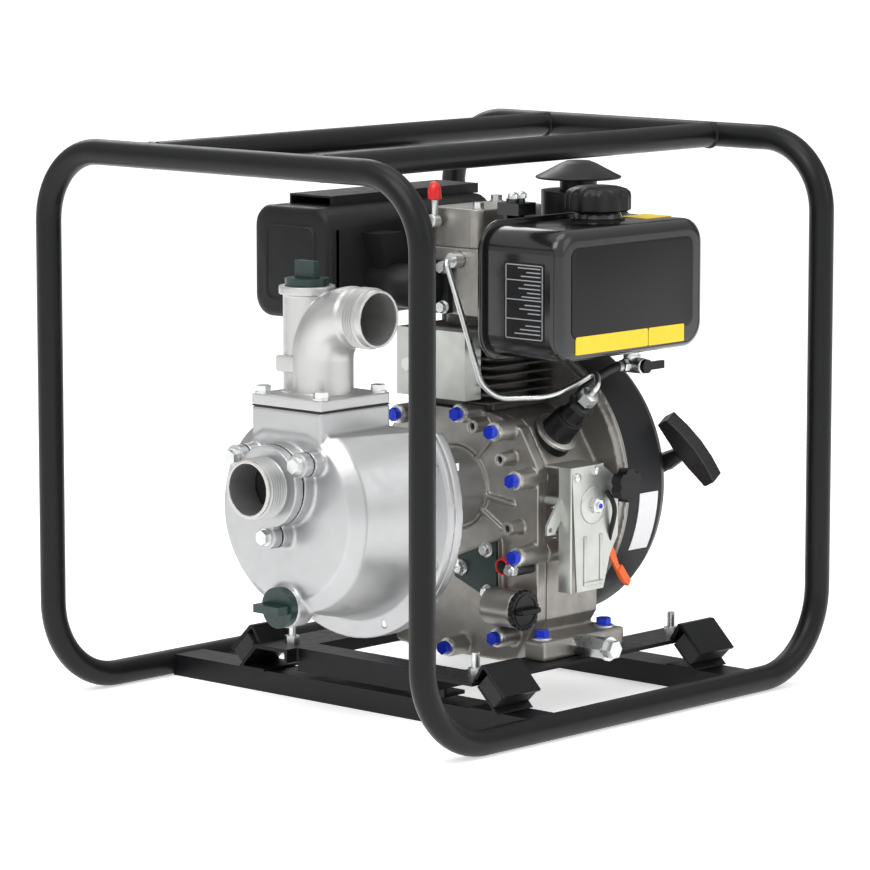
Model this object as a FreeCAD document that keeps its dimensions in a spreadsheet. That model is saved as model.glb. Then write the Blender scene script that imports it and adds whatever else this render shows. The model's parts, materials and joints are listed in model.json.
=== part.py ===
"""Two-inch engine-driven centrifugal pump in a roll frame, as a parametric FreeCAD document.

Millimetres.  +X runs along the crank axis from the suction port to the recoil starter, +Z is up and
-Y is the side with the fuel tank.  The origin is the middle of the frame's footprint, on the ground.
"""
import FreeCAD, Part
import math
import os
import re
from types import SimpleNamespace
import Sketcher

Vec = FreeCAD.Vector

SIZES = dict(
    # Roll frame
    frame_length=620, frame_width=530, frame_height=565, tube_od=25.4, tube_wall=2,
    bend_top=72, bend_bottom=85, bar_near_y=-114, bar_far_y=113,
    channel_width=40, channel_height=22, channel_wall=3, channel_pump_x=-117, channel_engine_x=180,
    # Subframe and rubber mounts, symmetric about the unit's centre plane
    unit_y=-31, rail_offset=125, rail_width=50, rail_top=51, rail_plate=4, rail_lip=14,
    rail_start_x=-150, rail_end_x=212, cross_x=-135, cross_depth=30, cross_height=24,
    mount_length=52, stud_dia=8, stud_rise=22, nut_flats=13, nut_height=7,
    # Crank axis and shafts
    crank_z=211, shaft_dia=25, journal_dia=35, run_gap=0.05, body_gap=0.4, screw_gap=0.2,
    # Pump
    casing_front_x=-252, casing_rim_x=-155, casing_front_dia=168, casing_edge_dia=194,
    casing_chamfer=13, casing_rim_dia=266, casing_wall=5, rim_width=8,
    neck_x=-203, neck_length=96, neck_width=93, neck_top=313, neck_wall=17, shoulder_z=290,
    shoulder_wall=7,
    suction_z=241, port_dia=59.6, port_bore=50, suction_end_x=-304, flange_x=-268, flange_thick=11,
    flange_pcd=98, flange_core=80, flange_lug=24, gasket_thick=1, elbow_plate=11, flap_dia=53, flap_thick=4,
    flap_pin_rise=26, flap_pin_dia=4, discharge_z=402, discharge_y=-109, elbow_bend=45, elbow_y=-34,
    prime_y=-13, prime_top=428, prime_dia=47, prime_ring_dia=55, prime_bore=36, plug_gap=0.4,
    drain_z=121, drain_boss=42, drain_bore=23, drain_rise=4, impeller_dia=124, impeller_x=-205,
    impeller_width=30, volute_x=-213, volute_dia=142, volute_wall=4, bracket_thick=12, bracket_dia=112,
    seal_dia=46, rim_bolt_circle=244,
    # Engine block
    cover_x=-6, parting_x=8, boss_x=-30, boss_dia=20, block_end_x=85, case_wall=8, rear_wall=20,
    hub_x=-6, hub_dia=76, bearing_dia=52, bearing_width=20, case_near_y=-138, case_far_y=76,
    case_low_z=40, deck_z=290, bell_dia=280, bell_x=80, cylinder_x=38, bore_dia=70, stroke=60, liner_wall=6,
    rod_length=95, piston_height=48, head_z=385, fin_length=112, fin_width=104,
    fin_thick=2.5, head_top=452, rocker_top=491, rocker_length=108, rocker_width=72,
    web_dia=84, web_thick=12, pin_width=26, pin_dia=34, gear_module=1.5, gear_width=8,
    gear_teeth=24, gear_backlash=0.35, cam_dia=16, cam_rise=13, flywheel_dia=236, flywheel_x=100,
    fan_x=88, fan_dia=292, fan_end_x=152, fan_wall=3, recoil_end_x=176, recoil_dia=178,
    reel_dia=100, reel_rope_dia=80, reel_width=12, reel_post_dia=20, foot_offset=119,
    foot_x1=-13, foot_x2=81,
    foot_height=20, filler_x=-27, filler_z=100, filler_dia=38, filler_end_y=-134, filler_root_y=-95,
    # Tank, muffler and air cleaner
    tank_x1=-54, tank_x2=170, tank_y1=-205, tank_y2=-96, tank_z1=352, tank_z2=481, tank_round=26,
    tank_wall=2.5, seam_y=-108, seam_lip=5, cap_x=75, cap_y=-145, cap_dia=66, cap_height=25,
    tank_neck=38, tank_neck_top=490, muffler_x1=-118, muffler_x2=128, muffler_y1=41, muffler_y2=145,
    muffler_z1=380, muffler_z2=492, muffler_round=22, muffler_wall=1.5, exhaust_dia=44, exhaust_bore=34,
    exhaust_z=413, cleaner_x=155, cleaner_y=-50, cleaner_dia=76, cleaner_top=500, rain_cap_dia=88,
    rain_cap_z=508, rain_cap_top=530,
    # Controls
    panel_y=-172, panel_x1=4, panel_z2=242, panel_thick=2, knob_x=68,
    knob_z=220, knob_y=-184, knob_dia=34, pivot_x=36, pivot_z=202, lever_thick=3, fuel_pipe_dia=6,
    injector_dia=15, grip_length=80,
    grip_x=161, grip_y=-193, grip_z=246, pull_angle=27, rope_dia=4,
)

doc = FreeCAD.newDocument("pump_set")
sheet = doc.addObject("Spreadsheet::Sheet", "sizes")
for row, (alias, number) in enumerate(SIZES.items(), 1):
    sheet.set("A%d" % row, alias)
    sheet.set("B%d" % row, str(number))
    sheet.setAlias("B%d" % row, alias)
doc.recompute()
size = SimpleNamespace(**{alias: float(sheet.get(alias)) for alias in SIZES})

TURN = {
    "X": FreeCAD.Rotation(Vec(0, 0, 1), Vec(1, 0, 0)),
    "-X": FreeCAD.Rotation(Vec(0, 0, 1), Vec(-1, 0, 0)),
    "Y": FreeCAD.Rotation(Vec(0, 0, 1), Vec(0, 1, 0)),
    "-Y": FreeCAD.Rotation(Vec(0, 0, 1), Vec(0, -1, 0)),
    "Z": FreeCAD.Rotation(),
    "-Z": FreeCAD.Rotation(Vec(1, 0, 0), 180),
}
NODES = []


def formula(text):
    """A formula with each size name turned into a reference to the sheet."""
    return re.sub(r"[a-z][a-z_0-9]+", lambda m: "sizes." + m[0] if m[0] in SIZES else m[0], str(text))


def bind(thing, **formulas):
    for name, text in formulas.items():
        thing.setExpression(name, formula(text))


def place(thing, at, turn="Z"):
    thing.Placement = FreeCAD.Placement(Vec(0, 0, 0), TURN[turn] if isinstance(turn, str) else turn)
    for axis, text in zip("xyz", at):
        thing.setExpression("Placement.Base." + axis, formula(text))


def along(axis, across, start):
    """The point at `start` on an axis line, from its two other coordinates in X, Y, Z order."""
    index = "XYZ".index(axis[-1])
    return tuple(list(across[:index]) + [start] + list(across[index:]))


def block(x, y, z, name="block"):
    """A box between two formulas on each axis."""
    thing = doc.addObject("Part::Box", name)
    bind(thing, Length="(%s)-(%s)" % (x[1], x[0]), Width="(%s)-(%s)" % (y[1], y[0]),
         Height="(%s)-(%s)" % (z[1], z[0]))
    place(thing, (x[0], y[0], z[0]))
    return thing


def rod(axis, across, span, dia, name="rod"):
    thing = doc.addObject("Part::Cylinder", name)
    bind(thing, Radius="(%s)/2" % dia, Height="(%s)-(%s)" % (span[1], span[0]))
    place(thing, along(axis, across, span[0]), axis)
    return thing


def taper(axis, across, span, dia_1, dia_2, name="taper"):
    thing = doc.addObject("Part::Cone", name)
    bind(thing, Radius1="(%s)/2" % dia_1, Radius2="(%s)/2" % dia_2, Height="(%s)-(%s)" % (span[1], span[0]))
    place(thing, along(axis, across, span[0]), axis)
    return thing


def hexagon(direction, at, across_flats, height, name="hexagon"):
    thing = doc.addObject("Part::Prism", name)
    thing.Polygon = 6
    bind(thing, Circumradius="(%s)/1.7320508" % across_flats, Height=height)
    place(thing, at, direction)
    return thing


def fuse(*things, name="joined"):
    thing = doc.addObject("Part::MultiFuse", name)
    thing.Shapes = list(things)
    thing.Refine = True
    return thing


def cut(base, *tools, name="cut"):
    thing = doc.addObject("Part::Cut", name)
    thing.Base = base
    thing.Tool = tools[0] if len(tools) == 1 else fuse(*tools)
    return thing


def group(*things, name="group"):
    """Separate solids kept in one node."""
    thing = doc.addObject("Part::Compound", name)
    thing.Links = list(things)
    return thing


def tube(axis, across, span, outer, inner, name="tube"):
    return cut(rod(axis, across, span, outer), rod(axis, across, span, inner), name=name)


def rounded(base, radius, keep, name="rounded"):
    """A fillet on every edge of `base` that `keep` accepts."""
    doc.recompute()
    thing = doc.addObject("Part::Fillet", name)
    thing.Base = base
    thing.Edges = [(n, radius, radius) for n, edge in enumerate(base.Shape.Edges, 1) if keep(edge)]
    return thing


def runs_along(axis):
    """Picks straight edges parallel to an axis."""
    way = dict(X=Vec(1, 0, 0), Y=Vec(0, 1, 0), Z=Vec(0, 0, 1))[axis]

    def test(edge):
        return isinstance(edge.Curve, Part.Line) and abs(abs(edge.Curve.Direction.dot(way)) - 1) < 1e-6
    return test


def sketch_in(body, plane, points):
    """A fully dimensioned outline; each point is a pair of formulas."""
    sketch = body.newObject("Sketcher::SketchObject", "outline")
    origin = next(f for f in body.Origin.OriginFeatures if f.Role == plane)
    sketch.AttachmentSupport = [(origin, "")]
    sketch.MapMode = "FlatFace"
    values = [tuple(number_of(c) for c in p) for p in points]
    for n, (u, v) in enumerate(values):
        u2, v2 = values[(n + 1) % len(values)]
        sketch.addGeometry(Part.LineSegment(Vec(u, v, 0), Vec(u2, v2, 0)), False)
    for n in range(len(points)):
        sketch.addConstraint(Sketcher.Constraint("Coincident", n, 2, (n + 1) % len(points), 1))
    for n, point in enumerate(points):
        for kind, text in zip(("DistanceX", "DistanceY"), point):
            row = sketch.addConstraint(Sketcher.Constraint(kind, -1, 1, n, 1, number_of(text)))
            sketch.setExpression("Constraints[%d]" % row, formula(text))
    return sketch


def number_of(text):
    """The present value of a formula."""
    return float(sheet.evalExpression(formula(text)))


def lathe(direction, at, points, name="turned"):
    """A turned piece: points are (distance along the axis, diameter) pairs."""
    body = doc.addObject("PartDesign::Body", name)
    sketch = sketch_in(body, "XZ_Plane", [(s, "(%s)/2" % d) for s, d in points])
    turned = body.newObject("PartDesign::Revolution", "turning")
    turned.Profile = sketch
    turned.ReferenceAxis = (sketch, ["H_Axis"])
    turned.Angle = 360
    from_x = dict(X=Vec(1, 0, 0), Y=Vec(0, 1, 0), Z=Vec(0, 0, 1))[direction[-1]]
    if direction.startswith("-"):
        from_x = -from_x
    place(body, at, FreeCAD.Rotation(Vec(1, 0, 0), from_x))
    return body


def slab(plane, points, start, thick, name="slab"):
    """A straight-sided outline given thickness.

    plane YZ: points are (y, z), start is x.  plane XZ: points are (x, z), start is y and the thickness
    runs to -Y.  plane XY: points are (x, y), start is z.
    """
    body = doc.addObject("PartDesign::Body", name)
    sketch = sketch_in(body, plane + "_Plane", points)
    pad = body.newObject("PartDesign::Pad", "thickness")
    pad.Profile = sketch
    bind(pad, Length=thick)
    place(body, dict(YZ=(start, 0, 0), XZ=(0, start, 0), XY=(0, 0, start))[plane])
    return body


def solid(shape, name="shape"):
    """A shape worked out in code, for bent tubes and gear teeth."""
    thing = doc.addObject("Part::Feature", name)
    thing.Shape = shape
    return thing


def bent_path(points, radii):
    """Straight runs through the points, joined by tangent arcs of the given radii."""
    points = [Vec(*p) for p in points]
    edges = []
    here = points[0]
    for n, radius in enumerate(radii, 1):
        before = (points[n - 1] - points[n]).normalize()
        after = (points[n + 1] - points[n]).normalize()
        half = before.getAngle(after) / 2
        reach = radius / math.tan(half)
        start = points[n] + before * reach
        end = points[n] + after * reach
        centre = points[n] + (before + after).normalize() * (radius / math.sin(half))
        middle = centre + (points[n] - centre).normalize() * radius
        if (start - here).Length > 1e-6:
            edges.append(Part.LineSegment(here, start).toShape())
        edges.append(Part.Arc(start, middle, end).toShape())
        here = end
    edges.append(Part.LineSegment(here, points[-1]).toShape())
    return Part.Wire(edges)


def swept(path, dia):
    first = path.Edges[0]
    start = first.valueAt(first.FirstParameter)
    heading = first.tangentAt(first.FirstParameter)
    circle = Part.Wire(Part.makeCircle(dia / 2, start, heading))
    return path.makePipeShell([circle], True, False)


def bent_tube(points, radii, outer, inner=0, name="bent_tube"):
    path = bent_path(points, radii)
    shape = swept(path, outer)
    if inner:
        shape = shape.cut(swept(path, inner))
    return solid(shape, name)


def node(name, thing):
    """Names a finished piece; the name is also its file's."""
    thing.Label = name
    NODES.append(thing)
    return thing


def screw(direction, at, head_af, head_height, shank_dia, shank_length, flange=1.5):
    """A hexagon bolt: head outward along `direction` from `at`, flange under it, shank inward."""
    axis = direction[-1]
    sign = -1 if direction.startswith("-") else 1
    index = "XYZ".index(axis)
    across = [c for n, c in enumerate(at) if n != index]
    top = "(%s)+(%s)" % (at[index], sign * flange)
    low, high = ("(%s)-%s" % (at[index], shank_length), "(%s)+%s" % (at[index], flange + 1))
    if sign < 0:
        low, high = ("(%s)-%s" % (at[index], flange + 1), "(%s)+%s" % (at[index], shank_length))
    collar = (at[index], top) if sign > 0 else (top, at[index])
    head_at = list(at)
    head_at[index] = top
    return fuse(hexagon(direction, head_at, head_af, head_height),
                rod(axis, across, collar, "%s*1.3" % head_af),
                rod(axis, across, (low, high), shank_dia), name="bolt")


# ---- Roll frame -------------------------------------------------------------------------------------
half_x = "((frame_length-tube_od)/2)"
half_y = "((frame_width-tube_od)/2)"
low_z = "(tube_od/2)"
high_z = "(frame_height-tube_od/2)"


def hoop(side):
    """Half of the frame: a bottom rail, a post, the top, a post and the other bottom rail."""
    x = side * number_of(half_x)
    y, low, high = number_of(half_y), number_of(low_z), number_of(high_z)
    points = [(0, y, low), (x, y, low), (x, y, high), (x, -y, high), (x, -y, low), (0, -y, low)]
    radii = [size.bend_bottom, size.bend_top, size.bend_top, size.bend_bottom]
    return bent_tube(points, radii, size.tube_od, size.tube_od - 2 * size.tube_wall)


node("frame_hoop_pump_end", hoop(-1))
node("frame_hoop_engine_end", hoop(1))


def top_bar(y):
    bar = tube("X", (y, high_z), ("-" + half_x, half_x), "tube_od", "tube_od-2*tube_wall")
    saddles = [rod("Y", (end, high_z), (y + "-tube_od", y + "+tube_od"), "tube_od")
               for end in ("-" + half_x, half_x)]
    return cut(bar, *saddles)


node("top_bars", group(top_bar("bar_near_y"), top_bar("bar_far_y")))


def cross_channel(x):
    """An inverted channel whose ends are coped to the bottom rails."""
    reach = "(frame_width/2-0.75*tube_od)"
    outer = block((x + "-channel_width/2", x + "+channel_width/2"), ("-" + reach, reach),
                  (0, "channel_height"))
    inner = block((x + "-channel_width/2+channel_wall", x + "+channel_width/2-channel_wall"),
                  ("-" + half_y, half_y), (-1, "channel_height-channel_wall"))
    rails = [rod("X", (y, low_z), (x + "-channel_width", x + "+channel_width"), "tube_od")
             for y in ("-" + half_y, half_y)]
    return cut(outer, inner, *rails)


node("cross_channels", group(cross_channel("channel_pump_x"), cross_channel("channel_engine_x")))

# ---- Subframe and mounts ----------------------------------------------------------------------------
SIDES = (-1, 1)
MOUNT_XS = ("channel_pump_x", "channel_engine_x")


def outward(side, distance):
    """A y place at a distance from the unit's centre plane."""
    return "unit_y+(%d)*(%s)" % (side, distance)


def between(side, near, far):
    ends = (outward(side, near), outward(side, far))
    return ends if side > 0 else ends[::-1]


def sub_rail(side):
    plate = block(("rail_start_x", "rail_end_x"),
                  between(side, "rail_offset-rail_width/2", "rail_offset+rail_width/2"),
                  ("rail_top-rail_plate", "rail_top"))
    lip = block(("rail_start_x", "rail_end_x"),
                between(side, "rail_offset-rail_width/2", "rail_offset-rail_width/2+rail_plate"),
                ("rail_top-rail_lip", "rail_top-rail_plate"))
    studs = [rod("Z", (x, outward(side, "rail_offset")), ("rail_top-rail_lip", "rail_top+1"),
                 "stud_dia+2*screw_gap") for x in MOUNT_XS]
    feet = [rod("Z", (x, outward(side, "foot_offset")), ("rail_top-rail_lip", "rail_top+1"),
                "stud_dia+2*screw_gap") for x in ("foot_x1", "foot_x2")]
    return cut(fuse(plate, lip), *(studs + feet))


cross_y = between(1, "-rail_offset+rail_width/2", "rail_offset-rail_width/2")
crossbar = cut(
    block(("cross_x", "cross_x+cross_depth"), cross_y, ("rail_top-cross_height", "rail_top")),
    block(("cross_x+rail_plate", "cross_x+cross_depth+1"), cross_y,
          ("rail_top-cross_height+rail_plate", "rail_top-rail_plate")))
node("subframe", group(*([sub_rail(side) for side in SIDES] + [crossbar])))

# Each mount's section: (distance out past the rail's edge, height over the rail's top).
RAIL_EDGE = "rail_offset+rail_width/2"
CAP_SECTION = [(-6, 0), (5, 17), (10, 17), (37, -10), (34.2, -12.8), (8.3, 13), (7, 13), (-1.4, 0)]
RUBBER_SECTION = [(13, 8.3), (33, -11.7), (21.7, -23), (1.7, -3)]


def mount_piece(side, x, section):
    points = [(outward(side, "%s+(%s)" % (RAIL_EDGE, out)), up) for out, up in section]
    return slab("YZ", points, x + "-mount_length/2", "mount_length")


def over_rail(section):
    return [(out, "rail_top+(%s)" % up) for out, up in section]


def base_section():
    """The lower bracket: a sloping plate under the rubber on a foot that rests on the channel."""
    toe = "(rail_top-channel_height-3+1.7)"
    return [(1.7, "rail_top-3"), (toe, "channel_height"), (-10, "channel_height"),
            (-10, "channel_height+3"), (toe + "-7.2", "channel_height+3"), (-0.4, "rail_top-5.1")]


MOUNTS = [(side, x) for side in SIDES for x in MOUNT_XS]
node("isolator_brackets", group(*[mount_piece(s, x, section) for s, x in MOUNTS
                                  for section in (over_rail(CAP_SECTION), base_section())]))
node("isolator_rubbers", group(*[mount_piece(s, x, over_rail(RUBBER_SECTION)) for s, x in MOUNTS]))


def stud(side, x):
    y = outward(side, "rail_offset")
    return fuse(hexagon("Z", (x, y, "rail_top"), "nut_flats", "nut_height"),
                rod("Z", (x, y), ("rail_top-rail_plate-4", "rail_top+stud_rise"), "stud_dia"))


zinc_fasteners = [stud(s, x) for s, x in MOUNTS]

# ---- Pump ------------------------------------------------------------------------------------------
AXIS = ("unit_y", "crank_z")
PORT = ("unit_y", "suction_z")
pump_axis = (0, "unit_y", "crank_z")
face_x = "(casing_front_x-drain_rise)"
lug_points = [("unit_y+flange_pcd/2*%.6f" % math.cos(math.radians(a)),
               "suction_z+flange_pcd/2*%.6f" % math.sin(math.radians(a))) for a in (30, 150, 270)]
rim_points = [("unit_y+rim_bolt_circle/2*%.6f" % math.cos(math.radians(a)),
               "crank_z+rim_bolt_circle/2*%.6f" % math.sin(math.radians(a)))
              for a in (22, 158, 203, 248, 293, 338)]


def lobed(span):
    """The three-eared outline that the port flange, its gasket and its seat share."""
    ears = [rod("X", point, span, "flange_lug") for point in lug_points]
    return [rod("X", PORT, span, "flange_core")] + ears


def through(points, span, dia):
    return [rod("X", point, span, dia) for point in points]


corner_points = [("neck_x+(%d)*(neck_length/2-8)" % i, "unit_y+(%d)*(neck_width/2-8)" % j)
                 for i in (-1, 1) for j in (-1, 1)]
plate_x = ("neck_x-neck_length/2", "neck_x+neck_length/2")
plate_y = ("unit_y-neck_width/2", "unit_y+neck_width/2")
inner_x = ("neck_x-neck_length/2+neck_wall", "neck_x+neck_length/2-neck_wall")
inner_y = ("unit_y-neck_width/2+neck_wall", "unit_y+neck_width/2-neck_wall")
seat_x = "flange_x+gasket_thick"


def under_shoulder(thing, drop):
    """A turned piece cut off flat below the pump's neck."""
    top = "(shoulder_z-%s)" % drop
    return cut(thing, block(("suction_end_x", "0"), ("unit_y-casing_rim_dia", "unit_y+casing_rim_dia"),
                            (top, top + "+casing_rim_dia")))


casing_outer = lathe("X", pump_axis, [
    ("casing_front_x", 0), ("casing_front_x", "casing_front_dia"),
    ("casing_front_x+casing_chamfer", "casing_edge_dia"),
    ("casing_rim_x-rim_width-2", "casing_rim_dia-38"), ("casing_rim_x-rim_width", "casing_rim_dia"),
    ("casing_rim_x", "casing_rim_dia"), ("casing_rim_x", 0)])
casing_inner = lathe("X", pump_axis, [
    ("casing_front_x+casing_wall", 0), ("casing_front_x+casing_wall", "casing_front_dia-4"),
    ("casing_front_x+casing_chamfer+casing_wall", "casing_edge_dia-4"),
    ("casing_rim_x-rim_width-6", "casing_rim_dia-50"), ("casing_rim_x+1", "casing_rim_dia-50"),
    ("casing_rim_x+1", 0)])
casing_solid = fuse(under_shoulder(casing_outer, 0), block(plate_x, plate_y, ("crank_z", "neck_top")),
                    rod("X", ("unit_y", "drain_z"), (face_x, face_x + "+22"), "drain_boss"),
                    *lobed((seat_x, "casing_front_x+3")))
node("pump_casing", cut(
    casing_solid, under_shoulder(casing_inner, "shoulder_wall"),
    block(inner_x, inner_y, ("crank_z", "neck_top+1")),
    rod("X", PORT, (seat_x + "-1", "casing_front_x+casing_wall+1"), "port_bore+12"),
    rod("X", ("unit_y", "drain_z"), (face_x + "-1", face_x + "+30"), "drain_bore"),
    *(through(lug_points, (seat_x + "-1", seat_x + "+16"), "8+2*screw_gap")
      + through(rim_points, ("casing_rim_x-9", "casing_rim_x+1"), "8+2*screw_gap")
      + [rod("Z", p, ("neck_top-14", "neck_top+1"), "8+2*screw_gap") for p in corner_points])))

flange_face = "(flange_x-flange_thick)"
suction_gasket = cut(
    fuse(*lobed(("flange_x", seat_x))),
    *([rod("X", PORT, ("flange_x-1", seat_x + "+1"), "port_bore+2")]
      + through(lug_points, ("flange_x-1", seat_x + "+1"), "8+2*screw_gap")))
node("suction_flange", cut(
    fuse(*(lobed((flange_face, "flange_x")) + [rod("X", PORT, ("suction_end_x", "flange_x"), "port_dia")])),
    *([rod("X", PORT, ("suction_end_x-1", "flange_x+1"), "port_bore")]
      + through(lug_points, (flange_face + "-1", "flange_x+1"), "8+2*screw_gap"))))
zinc_fasteners += [screw("-X", (flange_face,) + p, 13, 6, 8, 22) for p in lug_points]

flap_x = "(flange_x+gasket_thick+body_gap)"
flap_pin_z = "(suction_z+flap_pin_rise)"
node("check_valve_flap", fuse(
    rod("X", PORT, (flap_x, flap_x + "+flap_thick"), "flap_dia"),
    rod("Y", (flap_x + "+flap_thick/2", flap_pin_z), ("unit_y-12", "unit_y+12"), "flap_pin_dia")))

gasket_top = "(neck_top+gasket_thick)"
plate_top = "(neck_top+gasket_thick+elbow_plate)"
cover_gasket = cut(
    block(plate_x, plate_y, ("neck_top", gasket_top)),
    *([block(inner_x, inner_y, ("neck_top-1", gasket_top + "+1"))]
      + [rod("Z", p, ("neck_top-1", gasket_top + "+1"), "8+2*screw_gap") for p in corner_points]))
node("pump_gaskets", group(suction_gasket, cover_gasket))


def elbow_route(overrun):
    """From inside the plate up, over and out to the near side."""
    foot = size.neck_top + size.gasket_thick - overrun
    mouth = size.discharge_y - overrun
    return [(size.neck_x, size.elbow_y, foot), (size.neck_x, size.elbow_y, size.discharge_z),
            (size.neck_x, mouth, size.discharge_z)]


prime_at = ("neck_x", "prime_y")
node("discharge_elbow", cut(
    fuse(block(plate_x, plate_y, (gasket_top, plate_top)),
         bent_tube(elbow_route(0), [size.elbow_bend], size.port_dia),
         rod("Z", prime_at, (gasket_top, "prime_top"), "prime_dia"),
         rod("Z", prime_at, ("prime_top-8", "prime_top"), "prime_ring_dia")),
    bent_tube(elbow_route(1), [size.elbow_bend], size.port_bore),
    rod("Z", prime_at, (gasket_top + "-1", "prime_top+1"), "prime_bore"),
    *[rod("Z", p, (gasket_top + "-1", plate_top + "+1"), "8+2*screw_gap") for p in corner_points]))
zinc_fasteners += [screw("Z", p + (plate_top,), 13, 6, 8, 22) for p in corner_points]

node("priming_plug", fuse(
    rod("Z", prime_at, ("prime_top-14", "prime_top+plug_gap+1"), "prime_bore-2*plug_gap"),
    rod("Z", prime_at, ("prime_top+plug_gap", "prime_top+plug_gap+7"), "prime_dia-4"),
    block(("neck_x-4", "neck_x+4"), ("prime_y-13", "prime_y+13"), ("prime_top+plug_gap+6", "prime_top+24"))))
node("drain_plug", fuse(
    rod("X", ("unit_y", "drain_z"), (face_x + "-plug_gap-1", face_x + "+16"), "drain_bore-2*plug_gap"),
    rod("X", ("unit_y", "drain_z"), (face_x + "-plug_gap-9", face_x + "-plug_gap"), "drain_boss-2"),
    block((face_x + "-plug_gap-24", face_x + "-plug_gap-8"), ("unit_y-17", "unit_y+17"),
          ("drain_z-4", "drain_z+4"))))

back_x = "(impeller_x+impeller_width)"
blades = []
for turn in range(0, 360, 60):
    blade = block((0, "impeller_width-6"), (0, "impeller_dia/2-2"), (0, 5), name="blade")
    place(blade, ("impeller_x+2", "unit_y", "crank_z"), FreeCAD.Rotation(Vec(1, 0, 0), turn))
    blades.append(blade)
node("impeller", cut(
    fuse(rod("X", AXIS, ("impeller_x", back_x), "shaft_dia+16"),
         rod("X", AXIS, (back_x + "-5", back_x), "impeller_dia"), *blades),
    rod("X", AXIS, ("impeller_x+6", back_x + "+1"), "shaft_dia")))
node("volute_insert", cut(
    lathe("X", pump_axis, [("volute_x", "port_bore+4"), ("volute_x", "volute_dia"),
                           ("casing_rim_x", "volute_dia"), ("casing_rim_x", "volute_dia-2*volute_wall"),
                           ("volute_x+volute_wall", "volute_dia-2*volute_wall"),
                           ("volute_x+volute_wall", "port_bore+4")]),
    block(("volute_x+8", "casing_rim_x-8"), ("unit_y-22", "unit_y+22"),
          ("crank_z+volute_dia/2-14", "crank_z+volute_dia/2+2"))))
node("seal_rotor", tube("X", AXIS, (back_x, "casing_rim_x-2-body_gap"), "seal_dia-6", "shaft_dia"))
node("seal_seat", tube("X", AXIS, ("casing_rim_x-2", "casing_rim_x+8"), "seal_dia", "shaft_dia+2"))

plate_back = "(casing_rim_x+bracket_thick)"
node("pump_bracket", cut(
    fuse(under_shoulder(rod("X", AXIS, ("casing_rim_x", plate_back), "casing_rim_dia"), 0),
         taper("X", AXIS, (plate_back, "hub_x"), "bracket_dia", "hub_dia")),
    rod("X", AXIS, ("casing_rim_x-1", "casing_rim_x+8"), "seal_dia"),
    rod("X", AXIS, ("casing_rim_x", "hub_x+1"), "shaft_dia+2"),
    taper("X", AXIS, (plate_back + "+4", "hub_x-bearing_width-8"), "bracket_dia-16", "hub_dia-16"),
    rod("X", AXIS, ("hub_x-bearing_width", "hub_x+1"), "bearing_dia"),
    *through(rim_points, ("casing_rim_x-1", plate_back + "+1"), "8+2*screw_gap")))
zinc_fasteners += [screw("X", (plate_back,) + p, 13, 6, 8, 20) for p in rim_points]

# ---- Crankcase --------------------------------------------------------------------------------------


def case_outline(inset):
    """The crankcase's (y, z) section, drawn in by `inset` all round."""
    near, far = "case_near_y+%s" % inset, "case_far_y-%s" % inset
    top, low = "deck_z-%s" % inset, "case_low_z+%s" % inset
    return [(near, low + "+46"), (near, top + "-52"), (near + "+24", top + "-12"), (near + "+64", top),
            (far + "-40", top), (far, top + "-44"), (far, low + "+46"), (far + "-24", low + "+4"),
            (far + "-50", low), (near + "+52", low), (near + "+28", low + "+4")]


# Bosses round the cover's edge: (y, z) from the crank axis.
COVER_BOLTS = [(-24, 78), (-70, 64), (-98, 18), (-101, -58), (-75, -142), (-8, -160),
               (62, -142), (96, -58), (96, 18), (60, 70)]
COVER_HOLES = [(-37, 66), (-74, 36), (-84, -32)]
SMALL_PLATE = [(-48, -58), (-14, -80), (-50, -101)]


def from_axis(y, z):
    return ("unit_y+(%s)" % y, "crank_z+(%s)" % z)


cover_points = [from_axis(*p) for p in COVER_BOLTS]
hole_points = [from_axis(*p) for p in COVER_HOLES]
small_points = [from_axis(*p) for p in SMALL_PLATE]
foot_points = [(x, outward(side, "foot_offset")) for side in SIDES for x in ("foot_x1", "foot_x2")]
foot_top = "(rail_top+foot_height)"

cover_body = fuse(*(
    [slab("YZ", case_outline(0), "cover_x", "parting_x-cover_x")]
    + [rod("X", p, ("boss_x", "parting_x"), "boss_dia") for p in cover_points]
    + [rod("X", p, ("boss_x+4", "parting_x"), "boss_dia-6") for p in hole_points]
    + [slab("YZ", [from_axis(-60, -48), from_axis(-4, -70), from_axis(-4, -90), from_axis(-60, -112)],
            "cover_x-6", 8)]
    + [rod("Y", ("filler_x", "filler_z"), ("filler_end_y", "filler_root_y"), "filler_dia"),
       block(("filler_x", "cover_x+1"), ("filler_end_y+2", "filler_root_y"),
             ("filler_z-filler_dia/2+6", "filler_z+filler_dia/2-6"))]))
cover_holes = ([rod("X", p, ("boss_x-1", "parting_x+1"), "8+2*screw_gap") for p in cover_points]
               + [rod("X", p, ("boss_x+3", "boss_x+16"), 7) for p in hole_points]
               + [rod("X", p, ("cover_x-7", "cover_x+2"), "6+2*screw_gap") for p in small_points])
node("crankcase_cover", cut(
    cover_body, slab("YZ", case_outline("case_wall"), "cover_x+4", "parting_x-cover_x"),
    rod("X", AXIS, ("cover_x-1", "cover_x+6"), "shaft_dia+2"),
    rod("Y", ("filler_x", "filler_z"), ("filler_end_y-1", "filler_root_y-5"), "filler_dia-8"),
    *cover_holes))

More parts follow.
